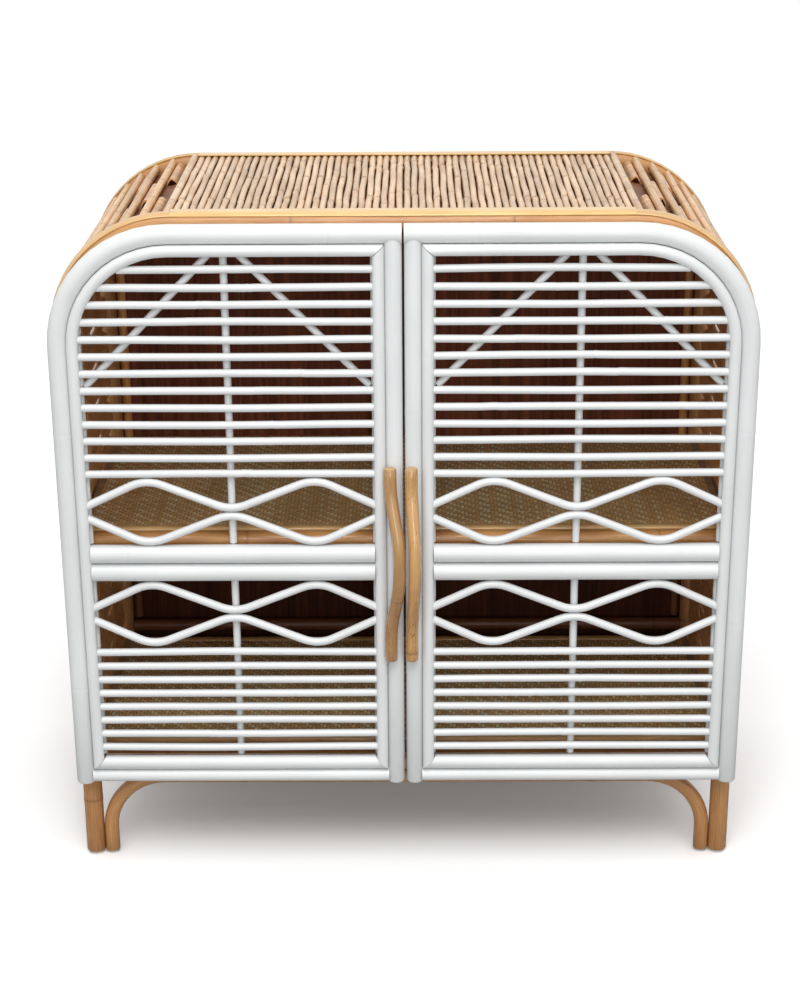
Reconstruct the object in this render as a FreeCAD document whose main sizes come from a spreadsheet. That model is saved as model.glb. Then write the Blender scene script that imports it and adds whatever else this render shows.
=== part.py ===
"""Rattan record cabinet with two white slatted doors, in millimetres.

The carcass is two bent hoops whose ends are the legs, joined by rails, shelves, a deck of
round sticks and woven sides. Each door is a bent outer pole with a stile, an inner frame,
slats and two pairs of waved rods, and hangs on butt hinges at the outer edge.
+Z is up, the front faces -Y, and the origin is on the floor under the middle of the cabinet.
"""
import FreeCAD, Part
import math
import os
import re
import Sketcher

SIZES = {
    # sides of the sections that stand for round ones
    "pole_sides": 12,             # hoops, doors' outer poles and stiles, handles
    "cane_sides": 8,              # braces, rails and inner frames
    "rod_sides": 6,               # sticks, rods, slats and waves
    "bend_step": 15,              # degrees that each chord of a bend turns
    # cabinet
    "overall_width": 1000,        # over the doors' outer poles, and over the edge strips
    "overall_height": 1012,       # floor to the top of the deck strips
    "hoop_spacing": 420,          # front hoop to back hoop, centre to centre
    "corner_radius": 160,         # centre line of the bent top corners
    "hoop_diameter": 29,
    "leg_chamfer": 2,
    "brace_diameter": 22,
    "brace_height": 132,          # centre line of the brace's level part
    "brace_radius": 88,
    "glide_height": 4,
    "glide_margin": 3,            # how far a glide stays inside the edge of its leg
    "fit_gap": 0.2,               # between a coped end and the pole it meets
    # shelves
    "mid_shelf_height": 534.5,    # top of the mat above the floor
    "bottom_shelf_height": 182.6,
    "board_thickness": 13,
    "mat_thickness": 2.6,
    "mid_shelf_rail_diameter": 26,
    "bottom_shelf_rail_diameter": 24,
    "side_rail_diameter": 18,
    "mid_mat_inset": 10,          # front hoop's centre to the mat's front edge
    "bottom_mat_inset": 20.5,
    "bottom_mat_back_gap": 9,     # mat's back edge to the back legs
    "binding_width": 14,
    "binding_thickness": 3,
    "upstand_diameter": 20,       # pole behind the bottom mat
    "upstand_lift": 4,            # its underside above the mat
    # deck
    "stick_count": 60,
    "stick_gap": 0.3,
    "deck_board_thickness": 9,
    "end_stick_diameter": 12,
    "strip_thickness": 2.4,
    "strip_overlap": 19,          # hoop's centre to the strip's edge over the stick ends
    # woven sides
    "side_rod_diameter": 12,
    "side_rod_count": 22,
    "side_rod_drop": 29,          # first side rod below the middle of the bend
    "low_side_rod_height": 184,   # the lowest side rod
    "corner_rod_count": 9,
    "corner_rod_step": 9.5,       # degrees
    "first_corner_rod": 14,       # degrees from the top of the bend
    "band_count": 3,
    "band_gap": 12,
    "band_thickness": 2.5,
    # back
    "panel_thickness": 5,
    "panel_margin": 4,            # panel's edge outside the hoop's centre line
    "trim_width": 14,
    "trim_thickness": 6,
    "trim_top_drop": 137,         # back trims' top below the cabinet's
    # doors
    "door_bottom": 140,
    "door_top_drop": 8.5,         # door's top centre line below the hoop's
    "door_pole_diameter": 29,
    "door_stand_off": 2.5,        # between the door's pole and the hoop
    "door_gap": 2.5,              # between the two stiles
    "pole_end_chamfer": 3,
    "stile_diameter": 26,
    "bottom_rail_diameter": 20.5,
    "bottom_rail_height": 152,
    "inner_frame_diameter": 17,
    "inner_frame_forward": 8,     # inner frame's centre in front of the poles' centre
    "sill_diameter": 22,
    "sill_forward": 3,
    "mid_rail_diameter": 28,
    "mid_rail_height": 499.8,     # seam between the two middle rails
    "mid_rail_forward": 3,
    "slat_diameter": 11,
    "slat_forward": 5,
    "top_slat_drop": 74.1,        # top slat below the cabinet's top
    "upper_slat_lift": 57.9,      # lowest upper slat above the waved rods' middle line
    "upper_slat_count": 13,
    "low_slat_lift": 16.55,        # lowest slat above the opening's bottom
    "lower_slat_drop": 62.5,      # highest lower slat below the waved rods' middle line
    "lower_slat_count": 8,
    "upright_diameter": 9.5,
    "upright_tuck": 1.2,          # outer uprights' centre outside the opening's edge
    "diagonal_offset": 27,        # diagonals' top ends from the centre stick
    "diagonal_drop": 181,
    "diagonal_reach": 176,
    "wave_diameter": 12.2,
    "wave_lift": 80.2,            # upper pair's middle line above the middle rails' seam
    "wave_end": 8,                # where the rods run out, above and below the middle line
    "wave_peak_share": 0.59,      # peak's place between the centre and the opening's edge
    "wave_radius": 55,
    # handles
    "handle_diameter": 18.5,
    "handle_length": 300,
    "handle_height": 501,         # middle of the handle
    "handle_bow": 22,
    "handle_bend_radius": 120,
    "left_handle_sway": 13,       # sideways part of the left handle's bow
    "right_handle_sway": 4.5,
    "left_handle_inset": 5.8,     # handle's ends beside the stile's centre line
    "right_handle_inset": 3.8,
    # hinges and catch
    "hinge_inset": 3.5,           # hinge pin inside the door's outer edge
    "hinge_length": 45,
    "hinge_barrel_diameter": 6,
    "hinge_pin_diameter": 2.8,
    "pin_gap": 0.05,              # round a hinge pin in its knuckles
    "hinge_leaf_thickness": 1,
    "hinge_leaf_width": 17,
    "hinge_running_gap": 0.3,
    "low_hinge_height": 230,
    "hinge_pitch": 530,
    "hinge_count": 2,
    "catch_width": 44,
    "catch_height": 14,
    "catch_plate_diameter": 12,
    "catch_plate_thickness": 1.2,
    "catch_gap": 0.6,
    "catch_inset": 5,             # catch's back behind the front hoop's centre
}

# Places that follow from the sizes, as formulas.
PLACES = {
    "hoop_radius": "hoop_diameter / 2",
    "door_pole_radius": "door_pole_diameter / 2",
    "strip_inside": "hoop_radius + fit_gap / 2",
    "strip_outside": "strip_inside + strip_thickness",
    "hoop_x": "overall_width / 2 - strip_outside",
    "hoop_z": "overall_height - strip_outside",
    "corner_x": "hoop_x - corner_radius",
    "corner_z": "hoop_z - corner_radius",
    "door_to_hoop": "door_pole_radius + door_stand_off + hoop_radius",
    "body_reach": "door_to_hoop + hoop_spacing + hoop_radius + panel_thickness",
    "handle_seat": "(stile_diameter + handle_diameter + fit_gap) / 2",
    "right_handle_seat": "sqrt(handle_seat ^ 2 - right_handle_inset ^ 2)",
    "left_handle_seat": "sqrt(handle_seat ^ 2 - left_handle_inset ^ 2)",
    "handle_reach": "right_handle_seat + handle_bow + handle_diameter / 2",
    "door_y": "(handle_reach - body_reach) / 2",
    "front_y": "door_y + door_to_hoop",
    "back_y": "front_y + hoop_spacing",
    "middle_y": "front_y + hoop_spacing / 2",
    "brace_x": "hoop_x - hoop_radius - fit_gap - brace_diameter / 2",
    "brace_top": "brace_height + brace_diameter / 2",
    "side_rod_pitch": "(corner_z - side_rod_drop - low_side_rod_height) "
                      "/ (side_rod_count - 1)",
    "band_slope": "1.2 * side_rod_diameter / side_rod_pitch",
    "band_swing": "(side_rod_diameter / 2 + fit_gap + band_thickness / 2) "
                  "* sqrt(1 + band_slope ^ 2)",
    "bend_sag": "(corner_radius + strip_inside) * (1 - cos(bend_step / 2))",
    "side_rod_out": "strip_inside - fit_gap - bend_sag - side_rod_diameter / 2",
    "bulge_out": "band_slope * side_rod_pitch / 2 - band_swing",
    "weave_in": "side_rod_out - band_swing - band_thickness / 2",
    "side_rail_x": "hoop_x + weave_in - fit_gap - side_rail_diameter / 2",
    "bottom_board_z": "bottom_shelf_height - mat_thickness - board_thickness",
    "mid_board_z": "mid_shelf_height - mat_thickness - board_thickness",
    "between_legs": "2 * (hoop_x - hoop_radius - fit_gap)",
    "panel_y": "back_y + hoop_radius",
    "stick_pitch": "2 * corner_x / stick_count",
    "stick_diameter": "stick_pitch - stick_gap",
    "stick_z": "hoop_z + strip_inside - fit_gap / 2 - stick_diameter / 2",
    "deck_board_top": "stick_z - stick_diameter / 2",
    "between_hoops": "hoop_spacing - hoop_diameter - 2 * fit_gap",
    "door_x": "(overall_width - door_pole_diameter) / 2",
    "door_top": "hoop_z - door_top_drop",
    "stile_x": "(door_gap + stile_diameter) / 2",
    "inner_reach": "(door_pole_diameter + inner_frame_diameter) / 2 + fit_gap",
    "bow_step": "sqrt(inner_reach * inner_reach - inner_frame_forward * inner_frame_forward)",
    "bow_x": "door_x - bow_step",
    "bow_top": "door_top - bow_step",
    "bow_radius": "corner_radius - bow_step",
    "stile_reach": "(stile_diameter + inner_frame_diameter) / 2 + fit_gap",
    "stile_step": "sqrt(stile_reach * stile_reach - inner_frame_forward * inner_frame_forward)",
    "inner_stile_x": "stile_x + stile_step",
    "sill_z": "bottom_rail_height + (bottom_rail_diameter + sill_diameter) / 2 + fit_gap",
    "opening_out": "bow_x - inner_frame_diameter / 2",
    "opening_in": "inner_stile_x + inner_frame_diameter / 2",
    "opening_middle": "(opening_in + opening_out) / 2",
    "opening_half": "(opening_out - opening_in) / 2",
    "opening_bottom": "sill_z + sill_diameter / 2",
    "mid_rails_top": "mid_rail_height + mid_rail_diameter + fit_gap / 2",
    "mid_rails_bottom": "mid_rail_height - mid_rail_diameter - fit_gap / 2",
    "upright_back": "(slat_diameter + upright_diameter) / 2 + fit_gap - slat_forward",
    "upper_wave_height": "mid_rail_height + wave_lift",
    "lower_wave_height": "mid_rail_height - wave_lift",
    "top_slat_height": "overall_height - top_slat_drop",
    "low_slat_height": "opening_bottom + low_slat_lift",
    "upper_slat_pitch": "(top_slat_height - upper_wave_height - upper_slat_lift) "
                        "/ (upper_slat_count - 1)",
    "lower_slat_pitch": "(lower_wave_height - lower_slat_drop - low_slat_height) "
                        "/ (lower_slat_count - 1)",
    "wave_forward": "slat_forward + (wave_diameter - slat_diameter) / 2",
    "wave_top": "upper_wave_height - mid_rails_top - fit_gap - wave_diameter / 2",
    "wave_rise": "wave_top + wave_radius * 0.09",
    "wave_waist": "(wave_diameter + fit_gap) / 2 - wave_radius * 0.077",
    "hinge_x": "overall_width / 2 - hinge_inset",
    "hinge_y": "door_y + door_pole_radius + door_stand_off / 2",
}

TURNS = {
    "x": FreeCAD.Rotation(FreeCAD.Vector(0, 1, 0), 90),
    "y": FreeCAD.Rotation(FreeCAD.Vector(1, 0, 0), -90),
    "z": FreeCAD.Rotation(FreeCAD.Vector(0, 0, 1), 90),
}
PLACE_WORDS = re.compile(r"\b(" + "|".join(PLACES) + r")\b")
SIZE_WORDS = re.compile(r"\b(" + "|".join(SIZES) + r")\b")

doc = FreeCAD.newDocument("record_cabinet")
sheet = doc.addObject("Spreadsheet::Sheet", "Sizes")
nodes = []


def fill_sheet():
    """Write each size into the sheet under its own name."""
    for row, (name, value) in enumerate(SIZES.items(), start=1):
        sheet.set(f"A{row}", name)
        sheet.set(f"B{row}", str(value))
        sheet.setAlias(f"B{row}", name)
    doc.recompute()


def formula(text):
    """Write a formula out in the sheet's own cells."""
    while PLACE_WORDS.search(text):
        text = PLACE_WORDS.sub(lambda found: f"({PLACES[found[0]]})", text)
    return SIZE_WORDS.sub(r"Sizes.\1", text)


def number(text):
    """The value of a formula with the sheet as it is."""
    return float(sheet.evalExpression(formula(text)))


def tie(thing, prop, text):
    """Bind a property of an object to a formula."""
    thing.setExpression(prop, formula(text))


def place(thing, x="0", y="0", z="0", rotation=None):
    """Bind an object's place to formulas, after turning it."""
    if rotation is not None:
        thing.Placement = FreeCAD.Placement(FreeCAD.Vector(), rotation)
    tie(thing, "Placement.Base.x", x)
    tie(thing, "Placement.Base.y", y)
    tie(thing, "Placement.Base.z", z)
    return thing


def node(label, thing):
    """Name a finished sub-part, so that it is written out."""
    thing.Label = label
    nodes.append(thing)
    return thing


# ---------------------------------------------------------------- plain shapes

def rod(name, diameter, length, x, y, z, along, sides="cane_sides"):
    """A straight rod from x, y, z along one axis, with as many sides as its family has."""
    thing = doc.addObject("Part::Prism", name)
    tie(thing, "Polygon", sides)
    tie(thing, "Circumradius", f"({diameter}) / 2")
    tie(thing, "Height", length)
    return place(thing, x, y, z, TURNS[along])


def bore(name, diameter, length, x, y, z):
    """A truly round upright rod, for a pin or its hole."""
    thing = doc.addObject("Part::Cylinder", name)
    tie(thing, "Radius", f"({diameter}) / 2")
    tie(thing, "Height", length)
    return place(thing, x, y, z)


def block(name, length, width, height, x, y, z):
    """A box whose lowest corner is at x, y, z."""
    thing = doc.addObject("Part::Box", name)
    tie(thing, "Length", length)
    tie(thing, "Width", width)
    tie(thing, "Height", height)
    return place(thing, x, y, z)


def gather(name, things):
    """Several separate solids as one object."""
    thing = doc.addObject("Part::Compound", name)
    thing.Links = things
    return thing


def cut(name, base, tools):
    """Take one or more tools away from a base."""
    thing = doc.addObject("Part::Cut", name)
    thing.Base = base
    thing.Tool = tools[0] if len(tools) == 1 else gather(f"{name}_tools", tools)
    return thing


def common(name, base, tool):
    """Keep what a base and a tool share."""
    thing = doc.addObject("Part::Common", name)
    thing.Base = base
    thing.Tool = tool
    return thing


def mirror(name, source):
    """The same piece on the other side of the cabinet."""
    thing = doc.addObject("Part::Mirroring", name)
    thing.Source = source
    thing.Normal = FreeCAD.Vector(1, 0, 0)
    return thing


# ---------------------------------------------------------------- sketched shapes

def origin_feature(body, role):
    """One of a body's own planes or axes."""
    return next(feature for feature in body.Origin.OriginFeatures if feature.Role == role)


def sketch_on(body, role, name, offset=None):
    """An empty sketch on one of the body's planes, lifted off it by a formula."""
    sketch = body.newObject("Sketcher::SketchObject", name)
    sketch.AttachmentSupport = (origin_feature(body, role), "")
    sketch.MapMode = "FlatFace"
    if offset is not None:
        tie(sketch, "AttachmentOffset.Base.z", offset)
    return sketch


def bind(sketch, constraint, text):
    """Add a constraint and bind its value to a formula."""
    index = sketch.addConstraint(constraint)
    sketch.setExpression(f"Constraints[{index}]", formula(text))


def fix_point(sketch, geometry, position, u, v):
    """Hold a point of the sketch at u, v from the origin."""
    for kind, text in (("DistanceX", u), ("DistanceY", v)):
        value = number(text)
        bind(sketch, Sketcher.Constraint(kind, -1, 1, geometry, position, value), text)


def polygon(sketch, diameter, sides, u="0", v="0", start="0"):
    """Draw a regular polygon in a circle of a bound diameter at a bound place.

    Its first corner is start degrees round from the sketch's first axis.
    """
    centre = FreeCAD.Vector(number(u), number(v), 0)
    radius = number(diameter) / 2
    count = int(number(sides))
    ring = sketch.addGeometry(Part.Circle(centre, FreeCAD.Vector(0, 0, 1), radius), True)
    bind(sketch, Sketcher.Constraint("Radius", ring, radius), f"({diameter}) / 2")
    fix_point(sketch, ring, 3, u, v)
    first = math.radians(number(start))
    turns = [first + 2 * math.pi * i / count for i in range(count)]
    corners = [centre + FreeCAD.Vector(math.cos(a), math.sin(a), 0) * radius for a in turns]
    edges = [sketch.addGeometry(Part.LineSegment(corners[i - 1], corners[i]))
             for i in range(count)]
    for i, edge in enumerate(edges):
        sketch.addConstraint(Sketcher.Constraint("PointOnObject", edge, 2, ring))
        sketch.addConstraint(Sketcher.Constraint("Coincident", edges[i - 1], 2, edge, 1))
        if i > 0:
            sketch.addConstraint(Sketcher.Constraint("Equal", edges[0], edge))
    kind, origin, turn = ("DistanceX", u, "cos") if math.sin(first) > 0.7 else ("DistanceY", v, "sin")
    text = f"{origin} + ({diameter}) / 2 * {turn}({start})"
    bind(sketch, Sketcher.Constraint(kind, -1, 1, edges[0], 2, number(text)), text)


def bend(before, corner, after, radius):
    """Start, centre and end of the arc that rounds a corner, and its turning sense."""
    back = (before - corner).normalize()
    ahead = (after - corner).normalize()
    half = back.getAngle(ahead) / 2
    start = corner + back * (radius / math.tan(half))
    end = corner + ahead * (radius / math.tan(half))
    middle = (back + ahead).normalize()
    centre = corner + middle * (radius / math.sin(half))
    return start, centre, end, (corner - before).cross(after - corner).z > 0


def arc_between(centre, start, end, left):
    """The arc from start to end, which Sketcher always keeps anticlockwise."""
    first, last = (start, end) if left else (end, start)
    angles = [math.atan2(p.y - centre.y, p.x - centre.x) for p in (first, last)]
    if angles[1] < angles[0]:
        angles[1] += 2 * math.pi
    ring = Part.Circle(centre, FreeCAD.Vector(0, 0, 1), (start - centre).Length)
    return Part.ArcOfCircle(ring, *angles)


def chords(sketch, arc, centre, start, end, left):
    """Draw equal straight chords from start to end along an arc, and return them."""
    turn = (start - centre).getAngle(end - centre) * (1 if left else -1)
    count = max(2, round(abs(math.degrees(turn)) / number("bend_step")))
    begin = math.atan2(start.y - centre.y, start.x - centre.x)
    radius = (start - centre).Length
    spots = [centre + FreeCAD.Vector(math.cos(begin + turn * k / count),
                                     math.sin(begin + turn * k / count), 0) * radius
             for k in range(count + 1)]
    pieces = [sketch.addGeometry(Part.LineSegment(a, b)) for a, b in zip(spots, spots[1:])]
    for before, after in zip(pieces, pieces[1:]):
        sketch.addConstraint(Sketcher.Constraint("Coincident", before, 2, after, 1))
        sketch.addConstraint(Sketcher.Constraint("PointOnObject", after, 1, arc))
        sketch.addConstraint(Sketcher.Constraint("Equal", before, after))
    return pieces


def draw(sketch, corners, closed=True, chorded=False):
    """Draw lines from corner to corner, with a tangent arc where a corner has a radius.

    A corner is (u, v) or (u, v, radius), all formulas, and every one is bound to the sheet.
    A chorded bend is drawn as equal chords of its arc.
    """
    points = [FreeCAD.Vector(number(c[0]), number(c[1]), 0) for c in corners]
    count = len(points)
    rounded = {i for i, c in enumerate(corners) if len(c) > 2}
    arcs = {}
    for i in rounded:
        radius = number(corners[i][2])
        arcs[i] = bend(points[i - 1], points[i], points[(i + 1) % count], radius)
    lines = []
    for i in range(count if closed else count - 1):
        after = (i + 1) % count
        start = arcs[i][2] if i in arcs else points[i]
        end = arcs[after][0] if after in arcs else points[after]
        lines.append(sketch.addGeometry(Part.LineSegment(start, end)))
    for i, corner in enumerate(corners):
        if i in rounded:
            start, centre, end, left = arcs[i]
            arc = sketch.addGeometry(arc_between(centre, start, end, left), chorded)
            first, last = (1, 2) if left else (2, 1)
            sketch.addConstraint(Sketcher.Constraint("Tangent", lines[i - 1], 2, arc, first))
            sketch.addConstraint(Sketcher.Constraint("Tangent", arc, last, lines[i], 1))
            radius = (start - centre).Length
            bind(sketch, Sketcher.Constraint("Radius", arc, radius), corner[2])
            if chorded:
                pieces = chords(sketch, arc, centre, start, end, left)
                sketch.addConstraint(Sketcher.Constraint("Coincident", arc, first, pieces[0], 1))
                sketch.addConstraint(Sketcher.Constraint("Coincident", arc, last, pieces[-1], 2))
            mark = sketch.addGeometry(Part.Point(points[i]), True)
            for line in (lines[i - 1], lines[i]):
                sketch.addConstraint(Sketcher.Constraint("PointOnObject", mark, 1, line))
            fix_point(sketch, mark, 1, corner[0], corner[1])
        elif closed or i < count - 1:
            fix_point(sketch, lines[i], 1, corner[0], corner[1])
            if closed or i > 0:
                sketch.addConstraint(Sketcher.Constraint("Coincident", lines[i - 1], 2, lines[i], 1))
        else:
            fix_point(sketch, lines[-1], 2, corner[0], corner[1])


def body_of(name):
    """A new body."""
    return doc.addObject("PartDesign::Body", name)


def pad(body, sketch, length, both_ways=True):
    """Give a sketch its thickness, to both sides of its plane or to one."""
    feature = body.newObject("PartDesign::Pad", f"{body.Name}_pad")
    feature.Profile = sketch
    feature.Midplane = both_ways
    tie(feature, "Length", length)
    return feature


def repeat(body, feature, axis, spacing, count):
    """Repeat a feature along one of the body's axes."""
    pattern = body.newObject("PartDesign::LinearPattern", f"{body.Name}_row")
    pattern.Originals = [feature]
    pattern.Direction = (origin_feature(body, axis), [""])
    pattern.Mode = "Spacing"
    tie(pattern, "Offset", spacing)
    tie(pattern, "Occurrences", count)
    body.Tip = pattern
    return pattern


def sweep(body, path, diameter, sides):
    """Run a pole's section along a path, square to the path's first edge."""
    section = body.newObject("Sketcher::SketchObject", f"{body.Name}_section")
    section.AttachmentSupport = [(path, "Edge1")]
    section.MapMode = "NormalToEdge"
    section.MapPathParameter = 0
    polygon(section, diameter, sides)
    pipe = body.newObject("PartDesign::AdditivePipe", f"{body.Name}_pipe")
    pipe.Profile = section
    pipe.Spine = path
    pipe.Transition = "Right corner"
    return pipe


def bent_pole(name, diameter, sides, corners, y):
    """A round pole bent in an upright plane, from its first corner to its last."""
    body = body_of(name)
    path = sketch_on(body, "XZ_Plane", f"{name}_path")
    draw(path, corners, closed=False, chorded=True)
    sweep(body, path, diameter, sides)
    place(body, y=y)
    doc.recompute()
    return body


def edges_at(shape, z, tolerance=0.01):
    """Names of the edges that lie level at one height."""
    return [f"Edge{i}" for i, edge in enumerate(shape.Edges, start=1)
            if abs(edge.BoundBox.ZMin - z) < tolerance and abs(edge.BoundBox.ZMax - z) < tolerance]


def chamfer_ends(body, height, size):
    """Chamfer the square ends of a body's poles at one height."""
    plain = body.Tip
    feature = body.newObject("PartDesign::Chamfer", f"{body.Name}_ends")
    feature.Base = (plain, edges_at(plain.Shape, number(height)))
    tie(feature, "Size", size)


# ---------------------------------------------------------------- carcass frame

def hoops():
    """Front and back hoops, whose chamfered ends are the legs."""
    for side in ("front", "back"):
        corners = [("-hoop_x", "glide_height"), ("-hoop_x", "hoop_z", "corner_radius"),
                   ("hoop_x", "hoop_z", "corner_radius"), ("hoop_x", "glide_height")]
        hoop = bent_pole(f"{side}_hoop", "hoop_diameter", "pole_sides", corners, f"{side}_y")
        chamfer_ends(hoop, "glide_height", "leg_chamfer")
        node(f"{side}_hoop", hoop)


def leg_braces():
    """Bent braces that stand beside the legs and cross under the bottom rails."""
    for side in ("front", "back"):
        corners = [("-brace_x", "glide_height"), ("-brace_x", "brace_height", "brace_radius"),
                   ("brace_x", "brace_height", "brace_radius"), ("brace_x", "glide_height")]
        brace = bent_pole(f"{side}_leg_brace", "brace_diameter", "cane_sides", corners,
                          f"{side}_y")
        node(f"{side}_leg_brace", brace)


def leg_glides():
    """A plastic glide under each end of the hoops and the braces."""
    discs = []
    for pole in ("hoop", "brace"):
        for side in ("front", "back"):
            for hand, sign in (("left", "-"), ("right", "")):
                name = f"{side}_{hand}_{pole}_glide"
                diameter = f"{pole}_diameter - 2 * glide_margin"
                discs.append(rod(name, diameter, "glide_height", f"{sign}{pole}_x",
                                 f"{side}_y", "0", "z"))
    node("leg_glides", gather("leg_glides", discs))


def leg_tools(name, y):
    """Cylinders that cope a cross rail to the two legs of one hoop."""
    return [rod(f"{name}_{hand}_cope", "hoop_diameter + 2 * fit_gap", "hoop_z", f"{sign}hoop_x",
                y, "0", "z", "pole_sides") for hand, sign in (("left", "-"), ("right", ""))]


RAIL_HEIGHTS = {
    ("mid", "front"): "mid_shelf_height - mid_shelf_rail_diameter / 2",
    ("mid", "back"): "mid_shelf_height - mat_thickness - mid_shelf_rail_diameter / 2",
    ("bottom", "front"): "brace_top + (bottom_shelf_rail_diameter + fit_gap) / 2",
    ("bottom", "back"): "brace_top + (bottom_shelf_rail_diameter + fit_gap) / 2",
}


def shelf_rails(level):
    """The four rails of a shelf: coped cross rails and butted side rails."""
    diameter = f"{level}_shelf_rail_diameter"
    rails = []
    for side in ("front", "back"):
        name = f"{level}_{side}_rail"
        bar = rod(name, diameter, "2 * hoop_x", "-hoop_x", f"{side}_y",
                  RAIL_HEIGHTS[level, side], "x")
        rails.append(cut(f"{name}_coped", bar, leg_tools(name, f"{side}_y")))
    for hand, sign in (("left", "-"), ("right", "")):
        rails.append(rod(f"{level}_{hand}_side_rail", "side_rail_diameter", "between_hoops",
                         f"{sign}side_rail_x", "front_y + hoop_radius + fit_gap",
                         f"{level}_board_z - side_rail_diameter / 2", "y"))
    node(f"{level}_shelf_rails", gather(f"{level}_shelf_rails", rails))


def shelf_boards():
    """A board between the hoops for each shelf, on the shelf's side rails."""
    half = "(side_rail_x + side_rail_diameter / 2)"
    for level in ("bottom", "mid"):
        name = f"{level}_shelf_board"
        node(name, block(name, f"2 * {half}", "between_hoops", "board_thickness", f"-{half}",
                         "front_y + hoop_radius + fit_gap", f"{level}_board_z"))


def mats():
    """A woven mat on each board; the middle one reaches back to the panel."""
    backs = {"bottom": "back_y - hoop_radius - bottom_mat_back_gap",
             "mid": "panel_y - fit_gap"}
    for level, back in backs.items():
        name = f"{level}_shelf_mat"
        front = f"(front_y + {level}_mat_inset)"
        node(name, block(name, "between_legs", f"{back} - {front}", "mat_thickness",
                         "-between_legs / 2", front, f"{level}_shelf_height - mat_thickness"))


def crowned(width, thickness):
    """Section of a flat strip with sloped shoulders, from one lower corner."""
    low, shoulder = f"{thickness} * 0.4", f"{width} * 0.25"
    return [("0", "0"), (width, "0"), (width, low), (f"{width} - ({shoulder})", thickness),
            (shoulder, thickness), ("0", low)]


def binding(name, y, z):
    """A flat strip with a crowned top that holds down the edge of a mat."""
    body = body_of(name)
    section = sketch_on(body, "YZ_Plane", f"{name}_section")
    draw(section, crowned("binding_width", "binding_thickness"))
    pad(body, section, "between_legs")
    return place(body, y=y, z=z)


def shelf_borders():
    """Binding strips at the mats' edges, and the pole behind the bottom mat."""
    strips = {level: [binding(f"{level}_front_binding", f"front_y + {level}_mat_inset",
                              f"{level}_shelf_height")] for level in ("bottom", "mid")}
    strips["bottom"].append(binding(
        "bottom_back_binding", "back_y - hoop_radius - bottom_mat_back_gap - binding_width",
        "bottom_shelf_height"))
    strips["bottom"].append(rod(
        "upstand", "upstand_diameter", "between_legs", "-between_legs / 2", "back_y",
        "bottom_shelf_height + upstand_lift + upstand_diameter / 2", "x"))
    for level, things in strips.items():
        node(f"{level}_shelf_border", gather(f"{level}_shelf_border", things))


# ---------------------------------------------------------------- deck and corners

def deck():
    """A board between the hoops with round sticks laid side by side on it."""
    board = block("deck_board", "2 * corner_x", "between_hoops", "deck_board_thickness",
                  "-corner_x", "front_y + hoop_radius + fit_gap",
                  "deck_board_top - deck_board_thickness")
    node("deck_board", board)
    body = body_of("deck_sticks")
    section = sketch_on(body, "XZ_Plane", "stick_section")
    polygon(section, "stick_diameter", "rod_sides", "stick_pitch / 2 - corner_x", "stick_z",
            "90")
    first = pad(body, section, "between_hoops")
    repeat(body, first, "X_Axis", "stick_pitch", "stick_count")
    node("deck_sticks", place(body, y="middle_y"))


def hoop_tools(name):
    """Both hoops' level tops, a little larger, to cope what crosses them."""
    return [rod(f"{name}_{side}_cope", "hoop_diameter + fit_gap", "2 * hoop_x", "-hoop_x",
                f"{side}_y", "hoop_z", "x", "pole_sides") for side in ("front", "back")]


def deck_end_sticks():
    """A longer, thicker stick at each end of the deck, coped over both hoops."""
    sticks = []
    for hand, sign in (("left", "-"), ("right", "")):
        sticks.append(rod(f"{hand}_end_stick", "end_stick_diameter", "hoop_spacing + 4",
                          f"{sign}(corner_x + end_stick_diameter / 2)", "front_y - 2",
                          "overall_height - end_stick_diameter / 2", "y"))
    both = gather("end_sticks_whole", sticks)
    node("deck_end_sticks", cut("deck_end_sticks", both, hoop_tools("end_stick")))


def strip_corners(flat_end):
    """Section of a strip: bent round the hoop's outer side, then flat over the stick ends.

    It is drawn with the hoop's centre as origin: u towards the middle of the cabinet, and v
    outwards. Its sides lie along the hoop's own sides, one and a half of them round the bend.
    """
    side = "(360 / pole_sides)"
    corners = []
    for radius in ("strip_inside", "strip_outside"):
        low = f"{radius} * cos({side} / 2)"
        corners.append([(f"-{low} * sin({side} * 1.5)", f"{low} * cos({side} * 1.5)"),
                        (f"-{radius} * sin{side}", f"{radius} * cos{side}"),
                        ("0", radius), (flat_end, radius)])
    return corners[0] + corners[1][::-1]


def deck_strips():
    """Flat peel strips over the ends of the deck's sticks, along both hoops."""
    strips = []
    for side, turn in (("front", 0), ("back", 180)):
        body = body_of(f"{side}_deck_strip")
        section = sketch_on(body, "YZ_Plane", f"{side}_deck_strip_section")
        draw(section, strip_corners("strip_overlap"))
        pad(body, section, "2 * corner_x")
        rotation = FreeCAD.Rotation(FreeCAD.Vector(0, 0, 1), turn)
        strips.append(place(body, y=f"{side}_y", z="hoop_z", rotation=rotation))
    node("deck_strips", gather("deck_strips", strips))


def edge_strip(name, side, turned):
    """A strip of the same section that follows one hoop round a corner and down its leg."""
    body = body_of(name)
    foot = "brace_top"
    path = sketch_on(body, "XZ_Plane", f"{name}_path")
    draw(path, [("hoop_x", foot), ("hoop_x", "hoop_z", "corner_radius"),
                ("corner_x - end_stick_diameter", "hoop_z")], closed=False, chorded=True)
    section = sketch_on(body, "XY_Plane", f"{name}_section", foot)
    corners = []
    for point in strip_corners("strip_overlap"):
        across = f"hoop_x + ({point[1]})"
        inward = f"-({point[0]})" if turned else point[0]
        corners.append((across, inward))
    draw(section, corners)
    pipe = body.newObject("PartDesign::AdditivePipe", f"{name}_pipe")
    pipe.Profile = section
    pipe.Spine = path
    pipe.Transition = "Right corner"
    place(body, y=f"{side}_y")
    room = block(f"{name}_room", "corner_x", "2 * hoop_diameter", "hoop_diameter",
                 "end_stick_diameter + fit_gap", f"{side}_y - hoop_diameter", "hoop_z")
    return cut(f"{name}_trimmed", body, [room])


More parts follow.
